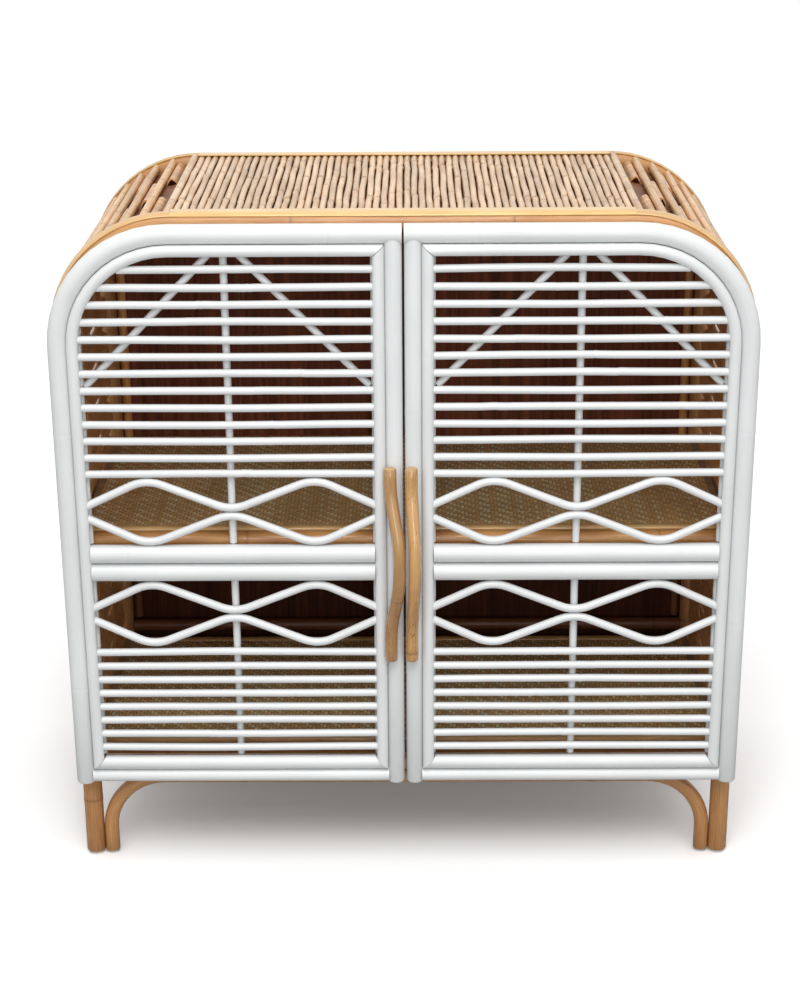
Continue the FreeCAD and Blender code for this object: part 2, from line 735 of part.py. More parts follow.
def edge_strips():
    """The curved strips of both hoops, left and right."""
    for side in ("front", "back"):
        right = edge_strip(f"{side}_right_edge_strip", side, side == "back")
        left = mirror(f"{side}_left_edge_strip", right)
        node(f"{side}_edge_strips", gather(f"{side}_edge_strips", [left, right]))


# ---------------------------------------------------------------- woven sides

def corner_rods():
    """Spaced rods round the bent corners, in line with the rods of the sides."""
    body = body_of("right_corner_rods")
    section = sketch_on(body, "XZ_Plane", "corner_rod_section")
    reach = "(corner_radius + side_rod_out)"
    polygon(section, "side_rod_diameter", "rod_sides", f"{reach} * sin(first_corner_rod)",
            f"{reach} * cos(first_corner_rod)", "90 - first_corner_rod")
    first = pad(body, section, "between_hoops")
    pattern = body.newObject("PartDesign::PolarPattern", "corner_rod_ring")
    pattern.Originals = [first]
    pattern.Axis = (origin_feature(body, "Y_Axis"), [""])
    pattern.Mode = "Spacing"
    tie(pattern, "Offset", "corner_rod_step")
    tie(pattern, "Occurrences", "corner_rod_count")
    body.Tip = pattern
    node("right_corner_rods", place(body, "corner_x", "middle_y", "corner_z"))
    node("left_corner_rods", mirror("left_corner_rods", body))


def side_rods():
    """Level rods from the front hoop to the back one, which the bands are woven over."""
    body = body_of("right_side_rods")
    section = sketch_on(body, "XZ_Plane", "side_rod_section")
    polygon(section, "side_rod_diameter", "rod_sides", "hoop_x + side_rod_out",
            "corner_z - side_rod_drop")
    first = pad(body, section, "between_hoops")
    row = repeat(body, first, "Z_Axis", "side_rod_pitch", "side_rod_count")
    row.Reversed = True
    node("right_side_rods", place(body, y="middle_y"))
    node("left_side_rods", mirror("left_side_rods", body))


def weave_stations():
    """Centre and outward direction at each rod, from the top of the corner downwards."""
    reach = number("corner_radius + side_rod_out")
    stations = []
    for step in range(int(number("corner_rod_count"))):
        angle = math.radians(number(f"first_corner_rod + {step} * corner_rod_step"))
        out = FreeCAD.Vector(math.sin(angle), 0, math.cos(angle))
        centre = FreeCAD.Vector(number("corner_x"), 0, number("corner_z"))
        stations.append((centre + out * reach, out))
    for step in range(int(number("side_rod_count"))):
        height = number(f"corner_z - side_rod_drop - {step} * side_rod_pitch")
        out = FreeCAD.Vector(1, 0, 0)
        stations.append((FreeCAD.Vector(number("hoop_x + side_rod_out"), 0, height), out))
    return stations


def band_line(phase):
    """Middle line of a band: inside every rod, and bulged out into every second space."""
    stations = weave_stations()
    line = []
    for index, (centre, out) in enumerate(stations):
        line.append((centre - out * number("band_swing"), out))
        if (index + phase) % 2 and index + 1 < len(stations):
            after, out_after = stations[index + 1]
            between = (out + out_after).normalize()
            line.append(((centre + after) / 2 + between * number("bulge_out"), between))
    return line


def band_section(phase):
    """Outline of a band from its middle line."""
    half = number("band_thickness") / 2
    line = band_line(phase)
    inner = [spot - out * half for spot, out in line]
    return inner + [spot + out * half for spot, out in reversed(line)]


def side_bands():
    """Wide woven bands of flat core, next to each other from front to back."""
    room = number("hoop_spacing - 2 * strip_overlap - 2 * band_gap")
    gap = number("band_gap")
    count = int(number("band_count"))
    width = (room - gap * (count - 1)) / count
    start = number("front_y + strip_overlap") + gap
    solids = []
    for index in range(count):
        points = band_section(index % 2)
        face = Part.Face(Part.makePolygon(points + points[:1]))
        solid = face.extrude(FreeCAD.Vector(0, width, 0))
        solid.translate(FreeCAD.Vector(0, start + index * (width + gap), 0))
        solids.append(solid)
    bands = doc.addObject("Part::Feature", "right_side_bands")
    bands.Shape = Part.makeCompound(solids)
    bands.Placement = FreeCAD.Placement()
    node("right_side_bands", bands)
    node("left_side_bands", mirror("left_side_bands", bands))


# ---------------------------------------------------------------- back

def back_panel():
    """A thin board behind the back hoop, with the hoop's outline."""
    body = body_of("back_panel")
    outline = sketch_on(body, "XZ_Plane", "back_panel_outline")
    half = "(hoop_x + panel_margin)"
    top = "(hoop_z + panel_margin)"
    radius = "corner_radius + panel_margin"
    foot = "brace_top + fit_gap"
    draw(outline, [(f"-{half}", foot), (half, foot), (half, top, radius), (f"-{half}", top, radius)])
    sheet_pad = pad(body, outline, "panel_thickness", both_ways=False)
    sheet_pad.Reversed = True
    node("back_panel", place(body, y="panel_y"))


def back_trims():
    """Upright trims of half-round section beside the back legs, above and below the shelf."""
    spans = {"lower": ("bottom_shelf_height + upstand_lift + upstand_diameter + fit_gap",
                       "mid_shelf_height - mat_thickness - mid_shelf_rail_diameter - fit_gap"),
             "upper": ("mid_shelf_height", "overall_height - trim_top_drop")}
    trims = []
    for level, (low, high) in spans.items():
        body = body_of(f"{level}_back_trim")
        section = sketch_on(body, "XY_Plane", f"{level}_back_trim_section")
        draw(section, crowned("-trim_width", "-trim_thickness"))
        pad(body, section, f"{high} - ({low})", both_ways=False)
        trims.append(place(body, "between_legs / 2", "panel_y", low))
    right = gather("right_back_trims", trims)
    node("back_trims", gather("back_trims", [mirror("left_back_trims", right), right]))


# ---------------------------------------------------------------- doors

def pole_tools(name):
    """Cylinders that cope a cross piece to the door's outer pole and its stile."""
    return [rod(f"{name}_{pole}_cope", f"{size} + 2 * fit_gap", "door_top", f"{pole}_x",
                "door_y", "0", "z", "pole_sides")
            for pole, size in (("door", "door_pole_diameter"), ("stile", "stile_diameter"))]


def door_frame():
    """Outer pole, stile, bottom rail and the inner frame of the right door."""
    pole = bent_pole("right_outer_pole", "door_pole_diameter", "pole_sides",
                     [("door_x", "door_bottom"), ("door_x", "door_top", "corner_radius"),
                      ("door_gap / 2", "door_top")], "door_y")
    chamfer_ends(pole, "door_bottom", "pole_end_chamfer")
    node("right_outer_pole", pole)
    stile = rod("stile_bar", "stile_diameter", "door_top - door_bottom", "stile_x", "door_y",
                "door_bottom", "z", "pole_sides")
    under = rod("stile_cope", "door_pole_diameter + 2 * fit_gap", "2 * stile_x", "0", "door_y",
                "door_top", "x", "pole_sides")
    node("right_stile", cut("right_stile", stile, [under]))
    rail = rod("bottom_rail_bar", "bottom_rail_diameter", "door_x - stile_x", "stile_x",
               "door_y - sill_forward", "bottom_rail_height", "x")
    node("right_bottom_rail", cut("right_bottom_rail", rail, pole_tools("bottom_rail")))


MITRE_SIZE = "(4 * inner_frame_diameter)"


def mitre_box(name, x, z, angle):
    """A block whose lower face lies on a mitre through x, z, turned by angle about Y."""
    turn = FreeCAD.Rotation(FreeCAD.Vector(0, 1, 0), angle)
    box = block(name, MITRE_SIZE, MITRE_SIZE, MITRE_SIZE, "0", "0", "0")
    corner = turn.multVec(FreeCAD.Vector(-0.5, -0.5, 0))
    slit = turn.multVec(FreeCAD.Vector(0, 0, -0.5))
    return place(box, f"{x} + {MITRE_SIZE} * {corner.x:.4f} + fit_gap * {slit.x:.4f}",
                 f"door_y + {MITRE_SIZE} * {corner.y:.4f}",
                 f"{z} + {MITRE_SIZE} * {corner.z:.4f} + fit_gap * {slit.z:.4f}", turn)


def inner_frame():
    """Bent bow, upright and sill of the inner frame, mitred where they meet."""
    forward = "door_y - inner_frame_forward"
    bow = bent_pole("bow_whole", "inner_frame_diameter", "cane_sides",
                    [("bow_x", "sill_z - sill_diameter"), ("bow_x", "bow_top", "bow_radius"),
                     ("inner_stile_x - inner_frame_diameter", "bow_top")], forward)
    cuts = [mitre_box("bow_top_mitre", "inner_stile_x", "bow_top", -135),
            mitre_box("bow_foot_mitre", "bow_x", "sill_z", -135)]
    node("right_inner_bow", cut("right_inner_bow", bow, cuts))
    upright = rod("inner_stile_bar", "inner_frame_diameter",
                  "bow_top - sill_z + 2 * inner_frame_diameter", "inner_stile_x", forward,
                  "sill_z - inner_frame_diameter", "z")
    cuts = [mitre_box("inner_stile_top_mitre", "inner_stile_x", "bow_top", 45),
            mitre_box("inner_stile_foot_mitre", "inner_stile_x", "sill_z", 135)]
    node("right_inner_stile", cut("right_inner_stile", upright, cuts))
    sill = rod("sill_bar", "sill_diameter", "bow_x - inner_stile_x + 2 * sill_diameter",
               "inner_stile_x - sill_diameter", "door_y - sill_forward", "sill_z", "x")
    cuts = [mitre_box("sill_out_mitre", "bow_x", "sill_z", 45),
            mitre_box("sill_in_mitre", "inner_stile_x", "sill_z", -45)]
    node("right_inner_sill", cut("right_inner_sill", sill, cuts + pole_tools("sill")))


def mid_rails():
    """Two rails across the middle of the door, coped to the inner frame and outer poles."""
    rails = []
    for name, shift in (("upper", "mid_rail_diameter / 2 + fit_gap / 2"),
                        ("lower", "-(mid_rail_diameter / 2 + fit_gap / 2)")):
        rails.append(rod(f"{name}_mid_rail", "mid_rail_diameter", "bow_x - inner_stile_x",
                         "inner_stile_x", "door_y - mid_rail_forward",
                         f"mid_rail_height + {shift}", "x"))
    tools = [rod(f"mid_rail_{end}_cope", "inner_frame_diameter + 2 * fit_gap", "door_top",
                 f"{end}_x", "door_y - inner_frame_forward", "0", "z")
             for end in ("bow", "inner_stile")]
    bars = gather("mid_rail_bars", rails)
    node("right_mid_rails", cut("right_mid_rails", bars, tools + pole_tools("mid_rail")))


def opening_block(name):
    """The space inside the inner frame, which trims the ends of slats and waves."""
    body = body_of(f"{name}_room")
    outline = sketch_on(body, "XZ_Plane", f"{name}_room_outline")
    edge_in, edge_out = "(opening_in + fit_gap)", "(opening_out - fit_gap)"
    top = "(bow_top - inner_frame_diameter / 2 - fit_gap)"
    radius = "(bow_radius - inner_frame_diameter / 2 - fit_gap)"
    draw(outline, [(edge_in, "opening_bottom"), (edge_out, "opening_bottom"),
                   (edge_out, top, radius), (edge_in, top)], chorded=True)
    pad(body, outline, "4 * slat_diameter")
    return place(body, y="door_y")


def slats():
    """Level slats of both panels, trimmed to the opening's outline."""
    for panel, start, pitch, back in (("upper", "top_slat_height", "upper_slat_pitch", True),
                                      ("lower", "low_slat_height", "lower_slat_pitch", False)):
        body = body_of(f"{panel}_slat_row")
        section = sketch_on(body, "YZ_Plane", f"{panel}_slat_section")
        polygon(section, "slat_diameter", "rod_sides", "0", start)
        first = pad(body, section, "2 * opening_half + 2 * slat_diameter")
        row = repeat(body, first, "Z_Axis", pitch, f"{panel}_slat_count")
        row.Reversed = back
        place(body, "opening_middle", "door_y - slat_forward")
        trimmed = common(f"right_{panel}_slats", body, opening_block(f"{panel}_slat"))
        node(f"right_{panel}_slats", trimmed)


def uprights():
    """Centre sticks and the backing sticks behind the slats' ends, in both panels."""
    sticks = []
    level_top = "bow_top - inner_frame_diameter / 2"
    spots = (("out", "opening_out + upright_tuck", "door_top - corner_radius * 0.7"),
             ("middle", "opening_middle", level_top), ("in", "opening_in - upright_tuck", level_top))
    for spot, x, high in spots:
        low_length = "mid_rails_bottom - opening_bottom - 2 * fit_gap"
        sticks.append(rod(f"lower_{spot}_upright", "upright_diameter", low_length, x,
                          "door_y + upright_back", "opening_bottom + fit_gap", "z",
                          "rod_sides"))
        sticks.append(rod(f"upper_{spot}_upright", "upright_diameter",
                          f"{high} - mid_rails_top - 2 * fit_gap", x,
                          "door_y + upright_back", "mid_rails_top + fit_gap", "z",
                          "rod_sides"))
    node("right_uprights", gather("right_uprights", sticks))


def diagonals():
    """Two sloping sticks behind the upper slats, from beside the centre stick outwards."""
    bars = []
    lean = math.degrees(math.atan2(number("diagonal_reach"), number("diagonal_drop")))
    for hand, sign in (("out", 1), ("in", -1)):
        bar = doc.addObject("Part::Prism", f"{hand}_diagonal")
        tie(bar, "Polygon", "rod_sides")
        tie(bar, "Circumradius", "upright_diameter / 2")
        tie(bar, "Height", "1.2 * sqrt(diagonal_reach ^ 2 + diagonal_drop ^ 2)")
        turn = FreeCAD.Rotation(FreeCAD.Vector(0, 1, 0), 180 - sign * lean).multiply(TURNS["z"])
        side = "+" if sign > 0 else "-"
        place(bar, f"opening_middle {side} (diagonal_offset - 0.05 * diagonal_reach)",
              "door_y + upright_back", "bow_top - inner_frame_diameter / 2 - fit_gap", turn)
        bars.append(bar)
    edge = "upright_diameter / 2 - upright_tuck + fit_gap"
    frame = block("diagonal_room", f"2 * opening_half - 2 * ({edge})", "4 * upright_diameter",
                  "bow_top - inner_frame_diameter / 2 - fit_gap - mid_rails_top",
                  f"opening_in + {edge}", "door_y", "mid_rails_top")
    both = gather("diagonal_bars", bars)
    node("right_diagonals", common("right_diagonals", both, frame))


def wave(name, height, sign):
    """One waved rod: from the opening's edge to a peak, the waist, a peak and the other edge."""
    half = "opening_half"
    peak = f"{half} * wave_peak_share"
    rise = {"end": "wave_end", "peak": "(wave_rise)", "waist": "(wave_waist)"}
    end = f"({half} + wave_diameter / 2)"
    spots = [(f"-{end}", "end"), (f"-{peak}", "peak"), ("0", "waist"), (peak, "peak"),
             (end, "end")]
    corners = []
    for u, level in spots:
        v = f"({height}) {sign} {rise[level]}"
        corners.append((u, v) if level == "end" else (u, v, "wave_radius"))
    body = body_of(name)
    path = sketch_on(body, "XZ_Plane", f"{name}_path")
    draw(path, corners, closed=False, chorded=True)
    sweep(body, path, "wave_diameter", "rod_sides")
    return place(body, "opening_middle", "door_y - wave_forward")


def waves():
    """A mirrored pair of waved rods in each panel, which touch at the centre stick."""
    rods = [wave(f"{panel}_{level}_wave", f"{panel}_wave_height", sign)
            for panel in ("upper", "lower") for level, sign in (("high", "+"), ("low", "-"))]
    node("right_waves", common("right_waves", gather("wave_rods", rods), opening_block("wave")))


def handle(hand, sign):
    """A naturally bent rattan handle on the stile, bowed forwards and a little sideways."""
    name = f"{hand}_handle"
    sway = f"{hand}_handle_sway"
    angle = math.degrees(math.atan2(number(sway), number("handle_bow")))
    body = body_of(name)
    path = sketch_on(body, "YZ_Plane", f"{name}_path")
    bowed = f"-sqrt(handle_bow ^ 2 + {sway} ^ 2)"
    draw(path, [("0", "-handle_length / 2"), ("0", "-handle_length * 0.33", "handle_bend_radius"),
                (bowed, "-handle_length * 0.08", "handle_bend_radius"),
                (bowed, "handle_length * 0.12", "handle_bend_radius"),
                ("0", "handle_length * 0.38", "handle_bend_radius"), ("0", "handle_length / 2")],
         closed=False, chorded=True)
    sweep(body, path, "handle_diameter", "pole_sides")
    turn = FreeCAD.Rotation(FreeCAD.Vector(0, 0, 1), angle)
    node(name, place(body, f"{sign}(stile_x) - {hand}_handle_inset",
                     f"door_y - {hand}_handle_seat", "handle_height", turn))


# ---------------------------------------------------------------- hinges and catch

def leaf(name, y, z, length):
    """A hinge leaf from the barrel to past the poles' centre lines."""
    return block(name, "hinge_leaf_width", "hinge_leaf_thickness", length,
                 "hinge_x - hinge_leaf_width", y, z)


def hinge_half(name, plate_y, z, round_tool, join):
    """Leaf and knuckle of one hinge half, with a pin joined on or a hole cut through."""
    half = "(hinge_length / 2 - hinge_running_gap / 2)"
    plate = leaf(f"{name}_leaf", plate_y, z, half)
    knuckle = rod(f"{name}_knuckle", "hinge_barrel_diameter", half, "hinge_x", "hinge_y", z, "z")
    shapes = [plate, knuckle] + ([round_tool] if join else [])
    whole = doc.addObject("Part::MultiFuse", name)
    whole.Shapes = shapes
    return whole if join else cut(f"{name}_bored", whole, [round_tool])


def hinges():
    """Lift-off butt hinges: the frame's lower half has the pin, the door's upper half the hole."""
    door_halves, frame_halves = [], []
    for step in range(int(number("hinge_count"))):
        low = f"(low_hinge_height + {step} * hinge_pitch)"
        high = f"({low} + hinge_length / 2 + hinge_running_gap / 2)"
        pin = bore(f"pin_{step}", "hinge_pin_diameter", "hinge_length", "hinge_x", "hinge_y", low)
        frame_halves.append(hinge_half(f"frame_half_{step}", "hinge_y + fit_gap / 2", low, pin,
                                       True))
        hole = bore(f"hole_{step}", "hinge_pin_diameter + 2 * pin_gap", "hinge_length",
                    "hinge_x", "hinge_y", low)
        door_halves.append(hinge_half(f"door_half_{step}",
                                      "hinge_y - hinge_leaf_thickness - fit_gap / 2", high, hole,
                                      False))
    right = gather("right_hinge_leaves", door_halves)
    node("right_hinge_leaves", right)
    node("left_hinge_leaves", mirror("left_hinge_leaves", right))
    frames = gather("right_frame_leaves", frame_halves)
    mirrored = mirror("left_frame_leaves", frames)
    node("frame_hinge_leaves", gather("frame_hinge_leaves", [frames, mirrored]))


def catch():
    """A double magnetic catch under the middle shelf's front rail, and a plate on each stile."""
    top = "mid_shelf_height - mid_shelf_rail_diameter"
    plate_front = "door_y + stile_diameter / 2"
    face = f"{plate_front} + catch_plate_thickness + catch_gap"
    node("door_catch", block("door_catch", "catch_width", f"front_y + catch_inset - ({face})",
                             "catch_height", "-catch_width / 2", face, f"{top} - catch_height"))
    plate = rod("right_catch_plate", "catch_plate_diameter", "catch_plate_thickness", "stile_x",
                plate_front, f"{top} - catch_height / 2", "y")
    node("right_catch_plate", plate)
    node("left_catch_plate", mirror("left_catch_plate", plate))


MIRRORED_DOOR_NODES = ("outer_pole", "stile", "bottom_rail", "inner_bow", "inner_stile",
                       "inner_sill", "mid_rails", "upper_slats", "lower_slats", "uprights",
                       "diagonals", "waves")


def doors():
    """The right door's pieces, and the left door as their mirror image."""
    door_frame()
    inner_frame()
    mid_rails()
    slats()
    uprights()
    diagonals()
    waves()
    named = {thing.Label: thing for thing in nodes}
    for piece in MIRRORED_DOOR_NODES:
        node(f"left_{piece}", mirror(f"left_{piece}", named[f"right_{piece}"]))
    handle("left", "-")
    handle("right", "")


def check():
    """Stop if any object failed or any sub-part is missing, invalid or not solid."""
    for thing in doc.Objects:
        if "Invalid" in thing.State or "Error" in thing.State:
            raise RuntimeError(f"{thing.Label} did not compute: {thing.State}")
    for thing in nodes:
        if thing.Shape.isNull() or not thing.Shape.isValid() or not thing.Shape.Solids:
            raise RuntimeError(f"{thing.Label} has no valid shape")


def export():
    """Write each sub-part to its own file."""
    os.makedirs("parts", exist_ok=True)
    for thing in nodes:
        thing.Shape.exportStep(f"parts/{thing.Label}.step")


fill_sheet()
hoops()
leg_braces()
leg_glides()
shelf_rails("bottom")
shelf_rails("mid")
shelf_boards()
mats()
shelf_borders()
deck()
deck_end_sticks()
deck_strips()
edge_strips()
corner_rods()
side_rods()
side_bands()
back_panel()
back_trims()
doors()
hinges()
catch()
doc.recompute()
check()
export()
print(len(nodes), "sub-parts")
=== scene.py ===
"""Looks for the rattan record cabinet: round poles with their knots, a deck of canes, woven
sides and mats, white painted doors and bent handles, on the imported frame. In metres.
"""
import math
import random

import bpy
import numpy as np
from mathutils import Matrix, Vector


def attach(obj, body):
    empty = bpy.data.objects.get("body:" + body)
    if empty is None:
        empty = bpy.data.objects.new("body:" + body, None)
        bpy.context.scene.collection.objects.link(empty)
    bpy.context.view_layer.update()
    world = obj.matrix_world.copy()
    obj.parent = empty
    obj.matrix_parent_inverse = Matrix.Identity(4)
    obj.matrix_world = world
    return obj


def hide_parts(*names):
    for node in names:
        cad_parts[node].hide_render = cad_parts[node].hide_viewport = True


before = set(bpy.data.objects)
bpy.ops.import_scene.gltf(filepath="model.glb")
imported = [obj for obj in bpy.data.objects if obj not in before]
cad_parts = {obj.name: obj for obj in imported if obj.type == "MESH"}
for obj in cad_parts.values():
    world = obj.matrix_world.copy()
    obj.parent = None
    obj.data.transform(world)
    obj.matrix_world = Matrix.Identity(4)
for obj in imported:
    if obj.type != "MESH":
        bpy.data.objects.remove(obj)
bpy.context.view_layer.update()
bpy.ops.object.select_all(action="DESELECT")
dice = random.Random(11)

# Centre lines and outlines that the frame was built to.
HOOP_X, HOOP_TOP, HOOP_BEND = 0.483, 0.995, 0.16
HOOP_RADIUS = 0.0145
FRONT_Y, BACK_Y, DOOR_Y = -0.17736, 0.24264, -0.20886
HOOPS_APART = BACK_Y - FRONT_Y
FLOOR_LIFT = 0.004                     # height of the glides
BETWEEN = (-0.16266, 0.22794)          # from the front hoop's back to the back hoop's front
BRACE_X, BRACE_TOP, BRACE_BEND = 0.4573, 0.132, 0.088
DECK_X, DECK_CANES = 0.323, 60         # half the deck's width, and its canes
CORNER = Vector((DECK_X, 0, 0.835))    # middle of the bent corners
CORNER_RODS, SIDE_RODS = 9, 22
ROD_REACH = 0.16691                    # corner rods from the middle of the bend
ROD_X, ROD_TOP, ROD_PITCH = 0.48991, 0.806, 0.02962    # side rods: the highest, the spacing
BAND_DEPTH, BAND_CREST = -0.00828, 0.0004    # a band under the rods and between them
BAND_EDGE, BAND_GAP = 0.019, 0.012     # beside the bands: at the hoops and between them
MAT_X = 0.4683                         # half the length of the mats and their bindings
OPENING = (0.04292, 0.45522)           # inside of a door's inner frame

# How the canes are drawn.
MIRROR = Matrix.Diagonal((-1, 1, 1, 1))
SMOOTH_ANGLE = 42                      # edges sharper than this stay sharp
SAW_REACH = 0.2                        # how far round a cut the saw works
CORE_WIDTH = 0.0093                    # one strand of the woven bands
TWILL_PITCH = 0.0056
# A knot: distances from its middle, and the pole's swelling there.
KNOT = ((-0.007, 1.0), (-0.0018, 1.04), (0.0, 0.995), (0.0018, 1.035), (0.007, 1.0))
KNOT_LINE = 0.003                      # half the width of its dark line
# A rounded end: shares of its length, and how much of that length the pole is drawn in.
ROUND_END = ((0, 1), (0.3, 0.45), (1, 0))


# ---------------- finishes

class Finish:
    """A material, with short ways to add the nodes that the finishes here share."""

    def __init__(self, name, roughness=0.5, coat=0.0, coat_roughness=0.1, **sockets):
        self.material = bpy.data.materials.new(name)
        self.material.use_nodes = True
        self.tree = self.material.node_tree
        self.shader = self.tree.nodes["Principled BSDF"]
        sockets.update({"Roughness": roughness, "Coat Weight": coat,
                        "Coat Roughness": coat_roughness})
        for socket, value in sockets.items():
            self.shader.inputs[socket].default_value = value

    def add(self, kind, settings=None, **inputs):
        node = self.tree.nodes.new(kind)
        for key, value in (settings or {}).items():
            setattr(node, key, value)
        for key, value in inputs.items():
            self.feed(node.inputs[key], value)
        return node

    def feed(self, socket, value):
        if isinstance(value, bpy.types.NodeSocket):
            self.tree.links.new(value, socket)
        else:
            socket.default_value = value

    def attribute(self, name, output="Vector"):
        node = self.add("ShaderNodeAttribute", {"attribute_name": name})
        return node.outputs[output]

    def place(self):
        return self.add("ShaderNodeTexCoord").outputs["Object"]

    def noise(self, source, scale, detail=3.0, rough=0.55):
        stretched = self.add("ShaderNodeMapping", None, Vector=source, Scale=scale)
        node = self.add("ShaderNodeTexNoise", None, Vector=stretched.outputs[0], Scale=1.0,
                        Detail=detail, Roughness=rough)
        return node.outputs["Fac"]

    def calc(self, operation, *values):
        node = self.add("ShaderNodeMath", {"operation": operation})
        for socket, value in zip(node.inputs, values):
            self.feed(socket, value)
        return node.outputs[0]

    def times(self, a, b):
        return self.calc("MULTIPLY", a, b)

    def ramp(self, factor, *stops):
        node = self.add("ShaderNodeValToRGB", None, Fac=factor)
        band = node.color_ramp
        while len(band.elements) < len(stops):
            band.elements.new(0.5)
        for element, (spot, colour) in zip(band.elements, stops):
            element.position = spot
            grey = isinstance(colour, (int, float))
            element.color = (colour, colour, colour, 1) if grey else (*colour, 1)
        return node.outputs["Color"]

    def mix(self, factor, a, b, mode="MIX"):
        node = self.add("ShaderNodeMix", {"data_type": "RGBA", "blend_type": mode})
        self.feed(node.inputs["Factor"], factor)
        for socket, colour in ((node.inputs[6], a), (node.inputs[7], b)):
            is_socket = isinstance(colour, bpy.types.NodeSocket)
            self.feed(socket, colour if is_socket else (*colour, 1))
        return node.outputs[2]

    def tint(self, colour, shade):
        return self.mix(1.0, colour, shade, "MULTIPLY")

    def colour(self, value):
        self.feed(self.shader.inputs["Base Color"], value)

    def roughness(self, value):
        self.feed(self.shader.inputs["Roughness"], value)

    def relief(self, height, distance, strength=1.0):
        bump = self.add("ShaderNodeBump", None, Height=height, Distance=distance,
                        Strength=strength)
        self.feed(self.shader.inputs["Normal"], bump.outputs[0])


def cane(name, pale, deep, ring, fibre=0.22, blotch=0.5, coat=0.35, roughness=0.42,
         tone_spread=0.16, specks=0.0):
    """Natural rattan: long fibres, soft blotches, a dark line at each knot, under varnish."""
    skin = Finish(name, roughness, coat, 0.16)
    grain = skin.attribute("grain")
    tone = skin.attribute("tone", "Fac")
    knot = skin.attribute("ring", "Fac")
    blotches = skin.noise(grain, (38, 38, 9), 3)
    fibres = skin.noise(grain, (520, 520, 11), 4, 0.6)
    hairs = skin.noise(grain, (1700, 1700, 26), 2, 0.5)
    blend = skin.calc("MULTIPLY_ADD", blotches, blotch, skin.times(fibres, 1 - blotch))
    body = skin.ramp(blend, (0.36, deep), (0.62, pale))
    body = skin.tint(body, skin.ramp(hairs, (0.36, 1 - fibre), (0.55, 1.0)))
    body = skin.tint(body, skin.ramp(tone, (0.0, 1 - tone_spread), (1.0, 1 + tone_spread)))
    if specks:
        dots = skin.noise(grain, (420, 420, 150), 2, 0.4)
        spread = skin.noise(grain, (55, 55, 14), 2)
        worn = skin.times(skin.ramp(dots, (0.6, 0.0), (0.7, 1.0)),
                          skin.ramp(spread, (0.45, 0.0), (0.62, specks)))
        body = skin.mix(worn, body, ring)
    skin.colour(skin.mix(skin.times(skin.calc("POWER", knot, 1.5), 0.75), body, ring))
    skin.roughness(skin.ramp(fibres, (0.3, roughness + 0.1), (0.7, roughness - 0.06)))
    skin.relief(skin.calc("MULTIPLY_ADD", hairs, 0.4, skin.times(fibres, 0.6)), 0.00035, 0.6)
    return skin.material


def white_paint():
    """Satin white paint over rattan, thin enough to show its fibres and knots."""
    paint = Finish("white_paint", 0.34, 0.12, 0.2)
    grain = paint.attribute("grain")
    knot = paint.attribute("ring", "Fac")
    fibres = paint.noise(grain, (620, 620, 10), 3, 0.6)
    clouds = paint.noise(grain, (26, 26, 8), 2)
    body = paint.ramp(clouds, (0.3, (0.71, 0.725, 0.725)), (0.7, (0.76, 0.775, 0.775)))
    body = paint.tint(body, paint.ramp(fibres, (0.28, 0.95), (0.46, 1.0)))
    line = paint.times(paint.calc("POWER", knot, 3.0), 0.1)
    paint.colour(paint.mix(line, body, (0.55, 0.52, 0.48)))
    paint.roughness(paint.ramp(fibres, (0.3, 0.42), (0.7, 0.28)))
    paint.relief(fibres, 0.00025, 0.5)
    return paint.material


def cut_end(name, wood, pore):
    """A sawn end: pale pith full of dark pores."""
    end = Finish(name, 0.7)
    spots = end.add("ShaderNodeTexVoronoi", None, Vector=end.place(), Scale=900.0)
    pores = end.ramp(spots.outputs["Distance"], (0.16, pore), (0.3, wood))
    clouds = end.noise(end.place(), (90, 90, 90), 2)
    end.colour(end.tint(pores, end.ramp(clouds, (0.3, 0.86), (0.7, 1.0))))
    end.relief(spots.outputs["Distance"], 0.0004, 0.6)
    return end.material


def woven_core():
    """Flat core laid side by side in a band: long ribs, brown, with a worn gloss on top; painted
    shade at the seams and in the hollows, painted light on the inside faces.
    """
    core = Finish("woven_core", 0.45, 0.45, 0.07)
    grain = core.attribute("grain")
    across = core.add("ShaderNodeSeparateXYZ", None, Vector=grain)
    strand = core.times(across.outputs[0], 1 / CORE_WIDTH)
    share = core.calc("FRACT", strand)
    which = core.add("ShaderNodeTexWhiteNoise", {"noise_dimensions": "1D"},
                     W=core.calc("FLOOR", strand)).outputs["Value"]
    rib = core.calc("SINE", core.times(share, math.pi))
    fibres = core.noise(grain, (900, 900, 14), 3, 0.6)
    body = core.ramp(fibres, (0.3, (0.5, 0.22, 0.07)), (0.68, (0.88, 0.47, 0.18)))
    body = core.tint(body, core.ramp(which, (0.0, 0.72), (1.0, 1.12)))
    # Painted shade: each strand darkens towards its rounded edges, where it meets the next.
    body = core.tint(body, core.ramp(rib, (0.0, 0.25), (0.3, 1.0)))
    hollow = core.attribute("ring", "Fac")
    # Painted light: the inside faces, marked 0, are mixed towards pale orange.
    body = core.mix(core.ramp(hollow, (0.0, 0.55), (0.08, 0.0)), body, (0.98, 0.5, 0.21))
    # Painted shade: the hollows, where the band passes under the rods, darken towards deep brown.
    painted_hollow_shade = core.ramp(hollow, (0.235, 1.0), (0.82, (0.3, 0.2, 0.14)))
    core.colour(core.tint(body, painted_hollow_shade))
    core.feed(core.shader.inputs["Coat Weight"], core.ramp(hollow, (0.19, 0.45), (0.64, 0.0)))
    ribs = core.calc("MULTIPLY_ADD", fibres, 0.12, core.calc("POWER", rib, 0.5))
    core.relief(ribs, 0.0011, 0.8)
    return core.material


